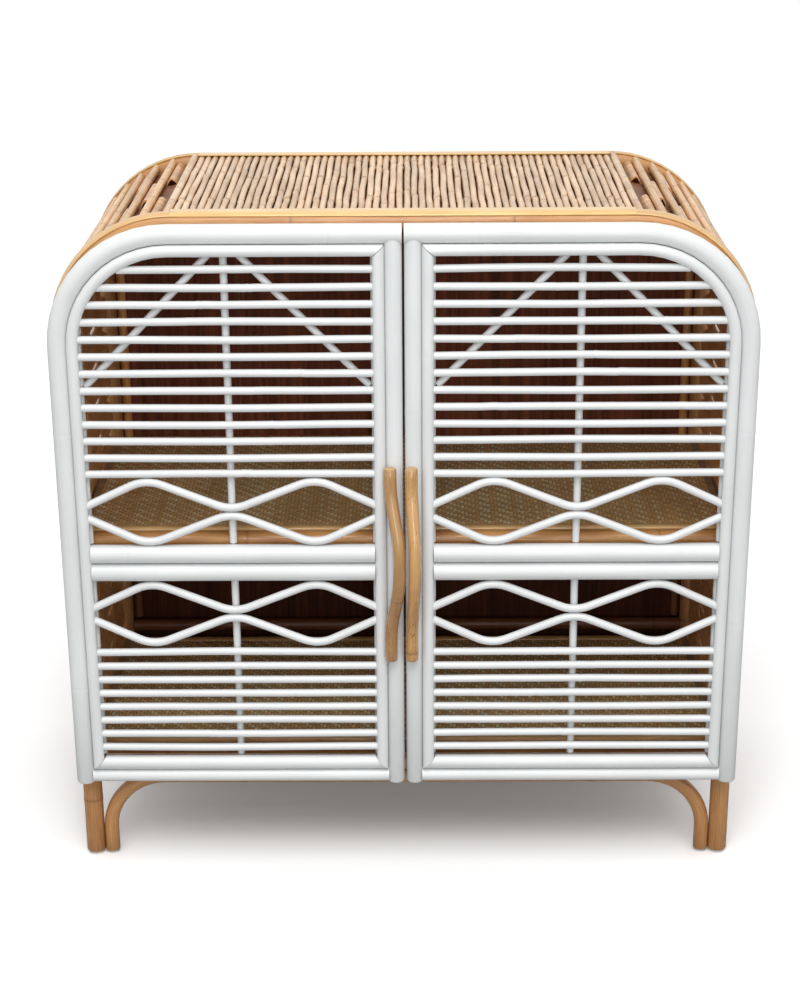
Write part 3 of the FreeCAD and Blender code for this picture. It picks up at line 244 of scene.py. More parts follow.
def twill_mat():
    """Seagrass mat in two-over-two twill, olive and tan, seen from above."""
    mat = Finish("twill_mat", 0.62, **{"Specular IOR Level": 0.25})
    place = mat.place()
    parts = mat.add("ShaderNodeSeparateXYZ", None, Vector=place)
    across = mat.times(parts.outputs[0], 1 / TWILL_PITCH)
    along = mat.times(parts.outputs[1], 1 / TWILL_PITCH)
    column, row = mat.calc("FLOOR", across), mat.calc("FLOOR", along)
    step = mat.calc("MODULO", mat.calc("ADD", mat.calc("ADD", column, row), 4000.0), 4.0)
    over = mat.calc("LESS_THAN", step, 2.0)
    under = mat.calc("SUBTRACT", 1.0, over)

    def strand(gone, beside, number):
        """A strand's height: round across, and up and down along a float of two crossings."""
        bow = mat.calc("SINE", mat.times(mat.calc("FRACT", beside), math.pi))
        share = mat.calc("FRACT", mat.times(mat.calc("ADD", gone, number), 0.25))
        hump = mat.calc("SINE", mat.times(share, 2 * math.pi))
        return mat.times(mat.calc("POWER", bow, 0.6), mat.calc("ABSOLUTE", hump))

    tall, wide = strand(along, across, column), strand(across, along, row)
    height = mat.calc("MAXIMUM", mat.times(over, tall), mat.times(under, wide))
    number = mat.calc("ADD", mat.times(over, column), mat.times(under, row))
    stalk = mat.add("ShaderNodeTexWhiteNoise", {"noise_dimensions": "1D"},
                    W=mat.calc("MULTIPLY_ADD", over, 977.0, number)).outputs["Value"]
    warm = mat.ramp(stalk, (0.0, (0.85, 0.52, 0.22)), (0.5, (1.0, 0.68, 0.31)),
                    (1.0, (1.0, 0.88, 0.54)))
    cool = mat.ramp(stalk, (0.0, (0.72, 0.44, 0.19)), (1.0, (0.92, 0.62, 0.3)))
    body = mat.mix(over, cool, warm)
    fibres = mat.noise(place, (700, 700, 700), 2)
    body = mat.tint(body, mat.ramp(fibres, (0.3, 0.8), (0.7, 1.05)))
    clouds = mat.noise(place, (9, 9, 9), 2)
    body = mat.tint(body, mat.ramp(clouds, (0.36, 0.84), (0.6, 1.0)))
    # Painted shade: the weave darkens where its strands dip, at their edges and where they pass
    # under.
    mat.colour(mat.tint(body, mat.ramp(height, (0.0, 0.34), (0.34, 1.0))))
    mat.relief(mat.calc("MULTIPLY_ADD", fibres, 0.1, height), 0.0014, 0.9)
    return mat.material


def board(name, pale, deep, stretch, roughness=0.5, gloss=0.5, low=1.0):
    """Sliced veneer, its figure along the axis of least stretch; low darkens it below the middle
    shelf, on the face inside, as painted shade of the closed-in lower compartment."""
    wood = Finish(name, roughness, **{"Specular IOR Level": gloss})
    place = wood.place()
    figure = wood.noise(place, stretch, 5, 0.62)
    lines = wood.noise(place, tuple(4.5 * s for s in stretch), 3, 0.6)
    body = wood.ramp(figure, (0.34, deep), (0.66, pale))
    if low < 1:
        # Painted shade: the inside face below the middle shelf is darkened to the share low.
        parts = wood.add("ShaderNodeSeparateXYZ", None, Vector=place)
        above = wood.ramp(parts.outputs[2], (0.5, 0.0), (0.53, 1.0))
        behind = wood.ramp(parts.outputs[1], (0.2585, 0.0), (0.2605, 1.0))
        unshaded_part = wood.calc("MAXIMUM", above, behind)
        body = wood.tint(body, wood.ramp(unshaded_part, (0.0, low), (1.0, 1.0)))
    wood.colour(wood.tint(body, wood.ramp(lines, (0.32, 0.66), (0.58, 1.0))))
    wood.relief(lines, 0.0003, 0.5)
    return wood.material


def plain(name, colour, roughness, metallic=0.0):
    """A moulded or rolled part, with a fine unevenness in its colour and sheen."""
    part = Finish(name, roughness, Metallic=metallic)
    fine = part.noise(part.place(), (400, 400, 400), 3)
    part.colour(part.tint(colour, part.ramp(fine, (0.3, 0.94), (0.7, 1.0))))
    part.roughness(part.ramp(fine, (0.3, roughness + 0.08), (0.7, roughness)))
    part.relief(fine, 0.0001, 0.4)
    return part.material


HOOP_CANE = cane("hoop_cane", (0.6, 0.305, 0.112), (0.43, 0.19, 0.062), (0.2, 0.08, 0.03),
                 coat=0.2)
RAIL_CANE = cane("rail_cane", (0.8, 0.41, 0.135), (0.52, 0.22, 0.065), (0.26, 0.1, 0.035),
                 blotch=0.7, specks=0.5)
DECK_CANE = cane("deck_cane", (0.82, 0.59, 0.375), (0.54, 0.34, 0.19), (0.24, 0.105, 0.04),
                 blotch=0.7, tone_spread=0.12, specks=0.45)
ROD_CANE = cane("rod_cane", (0.76, 0.47, 0.22), (0.52, 0.28, 0.11), (0.2, 0.085, 0.03),
                specks=0.4)
HANDLE_CANE = cane("handle_cane", (0.62, 0.35, 0.125), (0.4, 0.185, 0.058), (0.18, 0.075, 0.03),
                   blotch=0.65, coat=0.9, roughness=0.3, specks=0.8)
PEEL = cane("peel_strip", (0.82, 0.56, 0.235), (0.69, 0.42, 0.14), (0.5, 0.3, 0.12), fibre=0.14,
            coat=0.5, roughness=0.32, tone_spread=0.05)
EDGE_PEEL = cane("edge_peel", (0.72, 0.46, 0.2), (0.55, 0.32, 0.12), (0.4, 0.2, 0.08),
                 fibre=0.16, coat=0.6, roughness=0.3, tone_spread=0.06)
# A darker copy of the natural cane: painted shade for the back pole and split canes in the lower
# compartment.
SHADED_CANE = cane("cane_painted_shade", (0.24, 0.085, 0.03), (0.15, 0.05, 0.018), (0.08, 0.03, 0.012),
                coat=0.2)
CUT_END = cut_end("cut_end", (0.6, 0.38, 0.2), (0.28, 0.15, 0.07))
WHITE = white_paint()
CORE = woven_core()
TWILL = twill_mat()
# low paints shade on the panel's inside face below the middle shelf.
PANEL = board("panel_veneer", (0.27, 0.078, 0.036), (0.125, 0.034, 0.016), (60, 60, 2.2), 0.55,
              0.15, low=0.38)
PLY = board("shelf_ply", (0.55, 0.39, 0.22), (0.42, 0.28, 0.14), (3, 70, 70))
# Painted shade: the board under the deck's canes is near black, so the gaps between canes read as
# shadow.
SHADED_DECK_PLY = board("deck_ply_painted_shade", (0.15, 0.052, 0.016), (0.08, 0.026, 0.009), (3, 70, 70), 0.7, 0.1)
STEEL = plain("hinge_steel", (0.6, 0.59, 0.57), 0.34, 1.0)
CATCH = plain("catch_plastic", (0.16, 0.09, 0.05), 0.5)
GLIDE = plain("glide_plastic", (0.82, 0.8, 0.76), 0.45)


# ---------------- drawing out poles

def mode(name):
    bpy.ops.object.mode_set(mode=name)


def edit_all():
    mode("EDIT")
    bpy.ops.mesh.select_all(action="SELECT")


def deselect():
    if bpy.context.object and bpy.context.object.mode == "EDIT":
        mode("OBJECT")
    bpy.ops.object.select_all(action="DESELECT")


def pick(*pieces):
    """Select these pieces only, and make the first one active."""
    deselect()
    for piece in pieces:
        piece.select_set(True)
    bpy.context.view_layer.objects.active = pieces[0]


def apply_place():
    bpy.ops.object.transform_apply(location=True, rotation=True, scale=True)


def drop_points(piece, unwanted):
    """Take the unwanted points out of a fresh outline."""
    for vertex in piece.data.vertices:
        vertex.select = unwanted(vertex.co)
    for edge in piece.data.edges:
        edge.select = all(piece.data.vertices[v].select for v in edge.vertices)
    for face in piece.data.polygons:
        face.select = False
    mode("EDIT")
    bpy.ops.mesh.select_mode(type="VERT")
    bpy.ops.mesh.delete(type="VERT")
    mode("OBJECT")


def thicken(piece, thickness):
    """End the drawing of a sheet and make it solid, half its thickness to each side."""
    bpy.ops.mesh.select_all(action="SELECT")
    bpy.ops.mesh.normals_make_consistent(inside=False)
    mode("OBJECT")
    apply_place()
    modify(piece, "SOLIDIFY", thickness=thickness, offset=0)


def route(corners):
    """The straight runs and the bends of a pole that turns at corners (x, y, z, radius)."""
    points = [Vector(corner[:3]) for corner in corners]
    start, runs = points[0], []
    for index in range(1, len(points)):
        ahead = (points[index] - points[index - 1]).normalized()
        if index == len(points) - 1:
            runs.append(((points[index] - start).length, ahead, None))
            break
        after = (points[index + 1] - points[index]).normalized()
        angle, radius = ahead.angle(after), corners[index][3]
        axis = ahead.cross(after).normalized()
        begin = points[index] - ahead * radius * math.tan(angle / 2)
        centre = begin + axis.cross(ahead) * radius
        runs.append(((begin - start).length, ahead, (angle, centre, axis)))
        start = begin + (ahead + after) * radius * math.tan(angle / 2)
    return points[0], runs


def draw_out(shift, grow=1.0, at=None):
    """Draw the selected end out by a shift, and let it swell or shrink about a point."""
    bpy.ops.mesh.extrude_region_move(TRANSFORM_OT_translate={"value": shift})
    if abs(grow - 1) > 1e-6:
        bpy.ops.transform.resize(value=(grow, grow, grow), center_override=at)


def follow(start, runs, marks=(), wander=0.0, size=1.0, bend_step=8):
    """Draw the selection along the runs and bends; return the line it followed."""
    here, gone = start.copy(), 0.0
    line = [(start.copy(), 0.0, runs[0][1])]
    for length, ahead, bend in runs:
        begin = start.copy()
        spots = [(m - gone, s) for m, s in marks if gone + 1e-5 < m < gone + length - 2e-5]
        rounded = bend is None and marks and marks[-1][0] > gone + length - 2e-4
        spots.append((length, marks[-1][1] if rounded else 1.0))
        for along, swell in spots:
            side = Vector()
            if wander and along < length:
                side = Vector([dice.uniform(-wander, wander) for _ in range(3)])
                side -= ahead * side.dot(ahead)
            target = begin + ahead * along + side
            draw_out(target - here, swell / size, target)
            here, size = target, swell
            line.append((begin + ahead * along, gone + along, ahead))
        start, gone = begin + ahead * length, gone + length
        if bend:
            angle, centre, axis = bend
            steps = max(3, math.ceil(math.degrees(angle) / bend_step))
            bpy.ops.mesh.spin(steps=steps, angle=angle, center=centre, axis=-axis)
            for step in range(1, steps + 1):
                part = angle * step / steps
                turn = Matrix.Rotation(part, 3, axis)
                line.append((centre + turn @ (start - centre),
                             gone + (start - centre).length * part, turn @ ahead))
            start = line[-1][0].copy()
            here, gone = start.copy(), line[-1][1]
    return line


def mark_grain(piece, line, knots, tone, shift):
    """Note on each point where it would lie if the piece were straight, and the knots."""
    mesh = piece.data
    spots = np.array([vertex.co for vertex in mesh.vertices])
    centres = np.array([spot for spot, _, _ in line])
    ways = np.array([way for _, _, way in line])
    along = np.array([gone for _, gone, _ in line])
    near = ((spots[:, None] - centres[None]) ** 2).sum(2).argmin(1)
    apart = spots - centres[near]
    ahead = (apart * ways[near]).sum(1)
    apart = apart - ahead[:, None] * ways[near]
    turned = [Vector(a).cross(Vector(b)) for a, b in zip(ways[:-1], ways[1:])]
    bent = max(turned, key=lambda v: v.length, default=Vector())
    level = bent.normalized() if bent.length > 1e-4 else Vector(ways[0]).orthogonal().normalized()
    level = np.array(level)
    other = np.cross(ways[near], level)
    gone = along[near] + ahead
    grain = np.stack([(apart * level).sum(1), (apart * other).sum(1), gone + shift], 1)
    rings = np.zeros(len(spots))
    for knot in knots:
        rings = np.maximum(rings, 1 - np.abs(gone - knot) / KNOT_LINE)
    write_marks(mesh, grain, rings, tone)


def dress(piece, line, finish, knots=()):
    """Give a piece its finish, and marks with a tone and a stretch of grain of its own."""
    mark_grain(piece, line, knots, dice.random(), dice.uniform(0, 4))
    piece.data.materials.append(finish)


def write_marks(mesh, grain, rings, tone):
    """Keep grain, knots and tone with the mesh, where the finishes read them."""
    for name, kind, field, values in (("grain", "FLOAT_VECTOR", "vector", grain),
                                      ("ring", "FLOAT", "value", rings),
                                      ("tone", "FLOAT", "value", np.full(len(rings), tone))):
        mark = mesh.attributes.get(name) or mesh.attributes.new(name, kind, "POINT")
        mark.data.foreach_set(field, np.asarray(values, np.float32).ravel())


def finish_mesh(smooth=SMOOTH_ANGLE):
    """End the drawing: outward faces, place in the mesh, smooth except at sharp edges."""
    edit_all()
    bpy.ops.mesh.remove_doubles(threshold=0.00001)
    bpy.ops.mesh.normals_make_consistent(inside=False)
    mode("OBJECT")
    apply_place()
    bpy.ops.object.shade_smooth_by_angle(angle=math.radians(smooth))


def pole(radius, corners, finish, knots=(), sides=16, wander=0.0, stride=0.15,
         foot=0.0, head=0.0, cut=None, swell=1.0):
    """A round pole through corners: a disc drawn out along its runs and spun round its bends.

    knots are distances from the start and swell scales them; wander is how far it strays at
    each stride; foot and head are how much its ends are rounded; cut finishes the ends.
    """
    deselect()
    start, runs = route(corners)
    length = sum(run[0] for run in runs) + sum(
        corner[3] * run[2][0] for corner, run in zip(corners[1:], runs) if run[2])
    marks = {}
    for knot in knots:
        for step, size in KNOT:
            marks[round(knot + step, 6)] = 1 + (size - 1) * swell
    spot = stride * dice.uniform(0.5, 1)
    while wander and spot < length:
        if all(abs(spot - knot) > 0.012 for knot in knots):
            marks[round(spot, 6)] = 1.0
        spot += stride * dice.uniform(0.8, 1.2)
    for size, side in ((foot, 0), (head, 1)):
        for share, inset in ROUND_END if size else ():
            at = share * size if side == 0 else length - share * size
            marks[round(at, 6)] = 1 - inset * size / radius
    marks = sorted(marks.items())
    first = marks[0][1] if marks and marks[0][0] == 0 else 1.0
    bpy.ops.mesh.primitive_circle_add(
        vertices=sides, radius=radius * first, fill_type="NGON", location=start,
        rotation=runs[0][1].to_track_quat("Z", "Y").to_euler())
    piece = bpy.context.object
    edit_all()
    line = follow(start, runs, marks, wander, first)
    finish_mesh()
    dress(piece, line, finish, knots)
    if cut:
        piece.data.materials.append(cut)
        for face in piece.data.polygons:
            if len(face.vertices) == sides:
                face.material_index = 1
    return piece


def copy_of(piece, matrix, tone=None, shift=0.0):
    """A copy with its own mesh, moved, with its own tone and its own stretch of grain."""
    twin = piece.copy()
    twin.data = piece.data.copy()
    bpy.context.scene.collection.objects.link(twin)
    twin.data.transform(matrix)
    if matrix.determinant() < 0:
        twin.data.flip_normals()
    count = len(twin.data.vertices)
    grain = np.zeros(count * 3, np.float32)
    twin.data.attributes["grain"].data.foreach_get("vector", grain)
    grain[2::3] += shift
    twin.data.attributes["grain"].data.foreach_set("vector", grain)
    if tone is not None:
        twin.data.attributes["tone"].data.foreach_set("value", np.full(count, tone, np.float32))
    return twin


def settle(name, pieces, slot, *nodes, body="carcass"):
    """Join pieces into one that stands for its nodes of the frame and moves with a body."""
    pick(*pieces)
    if len(pieces) > 1:
        bpy.ops.object.join()
    whole = bpy.context.object
    whole.name = whole.data.name = name
    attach(whole, body)
    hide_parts(*nodes)


def modify(piece, kind, **settings):
    """Add a modifier to a piece and apply it."""
    pick(piece)
    bpy.ops.object.modifier_add(type=kind)
    modifier = piece.modifiers[-1]
    for key, value in settings.items():
        setattr(modifier, key, value)
    bpy.ops.object.modifier_apply(modifier=modifier.name)


def saw(piece, at, normal):
    """Saw a piece's near end along a plane, keep what lies behind it, and close the cut."""
    pick(piece)
    for vertex in piece.data.vertices:
        vertex.select = False
    for edge in piece.data.edges:
        edge.select = False
    for face in piece.data.polygons:
        face.select = (face.center - at).length < SAW_REACH
    mode("EDIT")
    bpy.ops.mesh.select_mode(type="FACE")
    bpy.ops.mesh.bisect(plane_co=at, plane_no=normal, use_fill=True, clear_outer=True)
    mode("OBJECT")
    bpy.ops.object.shade_smooth_by_angle(angle=math.radians(SMOOTH_ANGLE))


def knots_along(length, gap, spare=0.03):
    """Knots about a gap apart, never right at an end."""
    spots, at = [], dice.uniform(0.3, 0.9) * gap
    while at < length - spare:
        if at > spare:
            spots.append(round(at, 4))
        at += gap * dice.uniform(0.75, 1.25)
    return spots


# ---------------- carcass

def hoops_and_braces():
    """The two bent hoops that are also the legs, the bent braces and the glides."""
    arches = (
        ("hoop_pole", "hoop", HOOP_X, HOOP_TOP, HOOP_BEND, HOOP_RADIUS, 0.002,
         {"knots": [0.09, 0.36, 0.64, 1.25, 1.56, 2.05, 2.37, 2.61], "sides": 24, "swell": 0.7}),
        ("brace_cane", "leg_brace", BRACE_X, BRACE_TOP, BRACE_BEND, 0.011, 0.0015,
         {"knots": [0.3, 0.56, 0.83], "sides": 18}))
    for side, y in (("front", FRONT_Y), ("back", BACK_Y)):
        for name, node, x, top, bend, radius, end, details in arches:
            arch = pole(radius, [(-x, y, FLOOR_LIFT), (-x, y, top, bend), (x, y, top, bend),
                                 (x, y, FLOOR_LIFT)], HOOP_CANE, foot=end, head=end, **details)
            settle(f"{side}_{name}", [arch], "pole_rattan", f"{side}_{node}")
    glides = []
    for x, radius in ((HOOP_X, 0.0115), (BRACE_X, 0.008)):
        deselect()
        bpy.ops.mesh.primitive_cylinder_add(vertices=24, radius=radius, depth=FLOOR_LIFT,
                                            location=(x, FRONT_Y, FLOOR_LIFT / 2))
        glide = bpy.context.object
        modify(glide, "BEVEL", width=0.001, segments=2)
        finish_mesh()
        glide.data.materials.append(GLIDE)
        count = len(glide.data.vertices)
        write_marks(glide.data, np.zeros((count, 3)), np.zeros(count), 0.5)
        glides.append(glide)
        for across, back in ((-2 * x, 0), (0, HOOPS_APART), (-2 * x, HOOPS_APART)):
            glides.append(copy_of(glide, Matrix.Translation((across, back, 0))))
    settle("round_glides", glides, "glide_plastic", "leg_glides")


def half_round(start, heading, length, width, thickness, up, finish):
    """A split cane: half a disc, flattened to its thickness and drawn out."""
    deselect()
    heading, up = Vector(heading), Vector(up)
    side = up.cross(heading)
    turn = Matrix((side, up, heading)).transposed().to_euler()
    bpy.ops.mesh.primitive_circle_add(vertices=24, radius=width / 2, fill_type="NGON",
                                      location=start, rotation=turn)
    piece = bpy.context.object
    edit_all()
    bpy.ops.mesh.bisect(plane_co=start, plane_no=-up, use_fill=False, clear_outer=True)
    bpy.ops.mesh.select_all(action="SELECT")
    squeeze = Vector([1 + (2 * thickness / width - 1) * abs(u) for u in up])
    bpy.ops.transform.resize(value=squeeze, center_override=start)
    draw_out(heading * length)
    finish_mesh(50)
    line = [(Vector(start) + heading * length * share, length * share, heading)
            for share in (0, 0.5, 1)]
    dress(piece, line, finish)
    return piece


def binding(y, z, width, thickness, up, finish=EDGE_PEEL):
    """A split cane along a mat's edge, from side to side."""
    return half_round((-MAT_X, y, z), (1, 0, 0), 2 * MAT_X, width, thickness, up, finish)


def shelves():
    """Round rails, twill mats with their bindings, and the pole behind the bottom mat."""
    for level, radius, front_z, back_z, side_z in (("bottom", 0.012, 0.1551, 0.1551, 0.158),
                                                   ("mid", 0.013, 0.5215, 0.5189, 0.5099)):
        rails = [pole(radius, [(-0.472, y, z), (0.472, y, z)], RAIL_CANE,
                      knots_along(0.944, 0.3), sides=20, swell=0.6)
                 for y, z in ((FRONT_Y, front_z), (BACK_Y, back_z))]
        rails += [pole(0.009, [(x, y, side_z) for y in BETWEEN], ROD_CANE,
                       knots_along(0.39, 0.16)) for x in (-0.4712, 0.4712)]
        settle(f"{level}_rail_canes", rails, "pole_rattan", f"{level}_shelf_rails")
    for level, front, back, z in (("bottom", -0.15686, 0.21914, 0.18),
                                  ("mid", -0.16736, 0.25694, 0.5319)):
        deselect()
        bpy.ops.mesh.primitive_grid_add(x_subdivisions=60, y_subdivisions=26, size=1)
        mat = bpy.context.object
        mat.scale = (2 * MAT_X, back - front, 1)
        mat.location = (0, (front + back) / 2, z + 0.0022)
        apply_place()
        edit_all()
        bpy.ops.transform.vertex_random(offset=0.0004, uniform=0.0, normal=1.0, seed=3)
        mode("OBJECT")
        modify(mat, "SOLIDIFY", thickness=0.002, offset=-1)
        finish_mesh(60)
        mat.data.materials.append(TWILL)
        settle(f"{level}_twill_mat", [mat], "mat_weave", f"{level}_shelf_mat")
    upwards, forwards = (0, 0, 1), (0, -1, 0)
    bottom = [binding(-0.14986, 0.1826, 0.014, 0.003, upwards),
              binding(-0.15705, 0.1708, 0.025, 0.0014, forwards, RAIL_CANE),
              binding(0.21214, 0.1826, 0.014, 0.003, upwards),
              pole(0.01, [(-MAT_X, BACK_Y, 0.1966), (MAT_X, BACK_Y, 0.1966)], SHADED_CANE,
                   knots_along(0.93, 0.25), swell=0.7)]
    settle("bottom_bindings", bottom, "peel_strip", "bottom_shelf_border")
    middle = [binding(-0.16036, 0.5345, 0.014, 0.003, upwards),
              binding(-0.1672, 0.5336, 0.0044, 0.0012, forwards)]
    settle("mid_binding", middle, "peel_strip", "mid_shelf_border")


def deck():
    """The deck's canes side by side, from a few canes with different knots, and the end canes."""
    low, high = BETWEEN
    masters = [pole(0.0047, [(0, y, 1.00427) for y in BETWEEN], DECK_CANE,
                    knots_along(high - low, 0.2, 0.012), sides=12, wander=0.0009, stride=0.06,
                    swell=1.4) for _ in range(11)]
    turned = Matrix.Translation((0, low + high, 0)) @ Matrix.Rotation(math.pi, 4, "Z")
    canes = []
    for index in range(DECK_CANES):
        master = masters[dice.randrange(len(masters))]
        move = Matrix.Translation(((2 * index + 1 - DECK_CANES) * DECK_X / DECK_CANES, 0, 0))
        if dice.random() < 0.5:
            move = move @ turned
        canes.append(copy_of(master, move, dice.random(), dice.uniform(0, 9)))
    for master in masters:
        bpy.data.objects.remove(master)
    settle("deck_canes", canes, "deck_rattan", "deck_sticks")
    ends = [pole(0.0055, [(x, FRONT_Y - 0.002, 1.006), (x, BACK_Y + 0.002, 1.006)], DECK_CANE,
                 knots_along(0.424, 0.1, 0.02), wander=0.0002, foot=0.001, head=0.001,
                 cut=CUT_END, swell=0.7) for x in (-0.329, 0.329)]
    settle("end_canes", ends, "deck_rattan", "deck_end_sticks")


def peel(corners, outward, inward, finish, flat=0.0):
    """A strip of peel bent over the hoop, and flat over the ends of the canes if asked."""
    deselect()
    start, runs = route(corners)
    outward, inward = Vector(outward), Vector(inward)
    turn = Matrix((inward, outward, inward.cross(outward))).transposed().to_euler()
    bpy.ops.mesh.primitive_circle_add(vertices=40, radius=HOOP_RADIUS + 0.0011,
                                      fill_type="NOTHING", location=start, rotation=turn)
    piece = bpy.context.object
    first, last = (5 if flat else -31), 50     # the arc it covers, in degrees from outward
    drop_points(piece, lambda co: not first < math.degrees(math.atan2(-co.x, co.y)) < last)
    crest = max(piece.data.vertices, key=lambda v: v.co.y - 100 * abs(v.co.x))
    for vertex in piece.data.vertices:
        vertex.select = vertex.index == crest.index
    mode("EDIT")
    for _ in range(4 if flat else 0):
        draw_out(inward * flat / 4)
    bpy.ops.mesh.select_all(action="SELECT")
    line = follow(start, runs, bend_step=6)
    thicken(piece, 0.0022)
    modify(piece, "BEVEL", width=0.0008, segments=2, limit_method="ANGLE",
           angle_limit=math.radians(50))
    finish_mesh(40)
    dress(piece, line, finish)
    return piece


def peel_strips():
    """Strips over the ends of the deck's canes and round the corners of both hoops."""
    deck_strips = []
    for side, y, inward in (("front", FRONT_Y, 1), ("back", BACK_Y, -1)):
        deck_strips.append(peel([(-DECK_X, y, HOOP_TOP), (DECK_X, y, HOOP_TOP)],
                                (0, 0, 1), (0, inward, 0), PEEL, 0.019))
        corners = [(HOOP_X, y, 0.143), (HOOP_X, y, HOOP_TOP, HOOP_BEND), (0.3352, y, HOOP_TOP)]
        right = peel(corners, (1, 0, 0), (0, inward, 0), EDGE_PEEL)
        left = copy_of(right, MIRROR, dice.random(), 1.7)
        settle(f"{side}_corner_peel", [right, left], "peel_strip", f"{side}_edge_strips")
    settle("deck_peel", deck_strips, "peel_strip", "deck_strips")


def rod_stations():
    """Middle and outward direction of every rod of the right side, from the top down."""
    spots = []
    for step in range(CORNER_RODS):
        angle = math.radians(14 + 9.5 * step)
        out = Vector((math.sin(angle), 0, math.cos(angle)))
        spots.append((CORNER + out * ROD_REACH, out))
    for step in range(SIDE_RODS):
        spots.append((Vector((ROD_X, 0, ROD_TOP - ROD_PITCH * step)), Vector((1, 0, 0))))
    return spots


def side_rods():
    """Level rods round the corners and down the sides, each side from a few canes."""
    low, high = BETWEEN[0] - 0.007, BETWEEN[1] + 0.007
    masters = [pole(0.0059, [(0, low, 0), (0, high, 0)], ROD_CANE,
                    knots_along(high - low, 0.11, 0.02), sides=14, wander=0.0002, stride=0.09)
               for _ in range(5)]
    for hand, sign in (("right", 1), ("left", -1)):
        groups = {"corner": [], "side": []}
        for index, (spot, out) in enumerate(rod_stations()):
            kind, proud = ("corner", 0.0012) if index < CORNER_RODS else ("side", 0)
            spot = spot + proud * out
            turn = Matrix.Rotation(dice.uniform(0, 6), 4, "Y")
            move = Matrix.Translation((sign * spot.x, 0, spot.z)) @ turn
            groups[kind].append(copy_of(masters[dice.randrange(5)], move, dice.random(),
                                        dice.uniform(0, 9)))
        for kind, rods in groups.items():
            settle(f"{hand}_{kind}_canes", rods, "deck_rattan", f"{hand}_{kind}_rods")
    for master in masters:
        bpy.data.objects.remove(master)


def weave_line(phase):
    """The line of a band: under the rods, out in every second space, down over the low rail."""
    spots = rod_stations()
    first = math.radians(6)
    out = Vector((math.sin(first), 0, math.cos(first)))
    spots.insert(0, (CORNER + out * ROD_REACH, out))
    line = []
    for index, ((a, out_a), (b, out_b)) in enumerate(zip(spots, spots[1:])):
        crest = BAND_CREST if (index + phase) % 2 == 0 else BAND_DEPTH - 0.0012
        for part in range(8):
            share = part / 8
            out = out_a.lerp(out_b, share).normalized()
            middle = CORNER + out * ROD_REACH if b.z > CORNER.z - 0.001 else a.lerp(b, share)
            ease = (1 - math.cos(2 * math.pi * share)) / 2
            line.append(middle + out * (BAND_DEPTH + (crest - BAND_DEPTH) * ease))
    end = spots[-1][0] + spots[-1][1] * BAND_DEPTH
    return line + [end, end - Vector((0, 0, 0.017)), end - Vector((0, 0, 0.033))]


def woven_band(phase, y, width):
    """A band of flat core: a short edge across, drawn out along the wavy line."""
    line = weave_line(phase)
    deselect()
    bpy.ops.mesh.primitive_plane_add(size=width, location=line[0] + Vector((width / 2, y, 0)))
    piece = bpy.context.object
    drop_points(piece, lambda co: co.x > 0)
    edit_all()
    for before, after in zip(line, line[1:]):
        draw_out(after - before)
    thicken(piece, 0.0023)
    finish_mesh(60)
    gone, followed = 0.0, []
    for before, spot, after in zip(line[:1] + line, line, line[1:] + line[-1:]):
        gone += (spot - before).length
        followed.append((spot + Vector((0, y, 0)), gone, (after - before).normalized()))
    dress(piece, followed, CORE)
    # Kept in the ring mark, these hollows carry the band's painted shade, and the zero marks the
    # inside faces for painted light.
    hollows = []    # 0 on the inside; outside from 0.1 on the crests to 1 in the hollows
    for vertex in piece.data.vertices:
        apart = Vector((vertex.co.x, 0, vertex.co.z)) - CORNER
        arm = apart.normalized() if apart.z > 0 else Vector((1, 0, 0))
        depth = apart.dot(arm) - ROD_REACH
        bulge = (depth - BAND_DEPTH) / (BAND_CREST - BAND_DEPTH)
        outside = vertex.normal.dot(arm) > 0
        hollows.append(0.1 + 0.9 * min(max(0.0, 1 - bulge), 1.0) if outside else 0.0)
    piece.data.attributes["ring"].data.foreach_set("value", hollows)
    return piece


def side_bands():
    """Three bands a side, neighbours over and under the rods by turns."""
    width = (HOOPS_APART - 2 * BAND_EDGE - 4 * BAND_GAP) / 3
    first = FRONT_Y + BAND_EDGE + BAND_GAP + width / 2
    right = [woven_band(index % 2, first + index * (width + BAND_GAP), width + 0.006)
             for index in range(3)]
    left = [copy_of(band, MIRROR, None, 2.3) for band in right]
    for hand, bands in (("right", right), ("left", left)):
        settle(f"{hand}_woven_bands", bands, "woven_core", f"{hand}_side_bands")


def back_strips():
    """Split canes up the back panel, above and below the middle shelf."""
    strips = []
    for x in (-0.4613, 0.4613):
        for low, high in ((0.2068, 0.5057), (0.5345, 0.875)):
            # Below the middle shelf the split canes take the cane with painted shade.
            strips.append(half_round((x, 0.2571, low), (0, 0, 1), high - low, 0.014, 0.006,
                                     (0, -1, 0), SHADED_CANE if low < 0.5 else RAIL_CANE))
    settle("back_split_canes", strips, "pole_rattan", "back_trims")


# ---------------- doors

def spot(sign, x, forward, z, *radius):
    """A place on a door, measured from the middle of the cabinet and the door's own plane."""
    return (sign * x, DOOR_Y - forward, z, *radius)


def painted(hand, name, pieces, node):
    """Settle white pieces as a door's node."""
    settle(f"{hand}_{name}", pieces, "white_paint", f"{hand}_{node}", body=f"{hand}_door")


def white_pole(sign, radius, places, knots, **details):
    """A white pole through places on a door, in the order that spot takes."""
    return pole(radius, [spot(sign, *place) for place in places], WHITE, knots, **details)


def door_frame(hand, sign):
    """The bent outer pole, the stile and the low rail."""
    outer = white_pole(sign, 0.0142, [(0.4855, 0, 0.14), (0.4855, 0, 0.9865, 0.16),
                                      (0.0014, 0, 0.9865)],
                       [0.21 + 0.05 * sign, 0.56, 1.16, 1.4], sides=28, foot=0.003, swell=0.45)
    painted(hand, "bent_pole", [outer], "outer_pole")
    stile = white_pole(sign, 0.0129, [(0.01425, 0, 0.14), (0.01425, 0, 0.979)],
                       [0.24, 0.55 + 0.04 * sign], sides=24, foot=0.003, swell=0.45)
    painted(hand, "round_stile", [stile], "stile")
    rail = white_pole(sign, 0.0101, [(0.025, 0.003, 0.152), (0.4735, 0.003, 0.152)],
                      knots_along(0.44, 0.2), sides=18, swell=0.5)
    painted(hand, "low_rail", [rail], "bottom_rail")


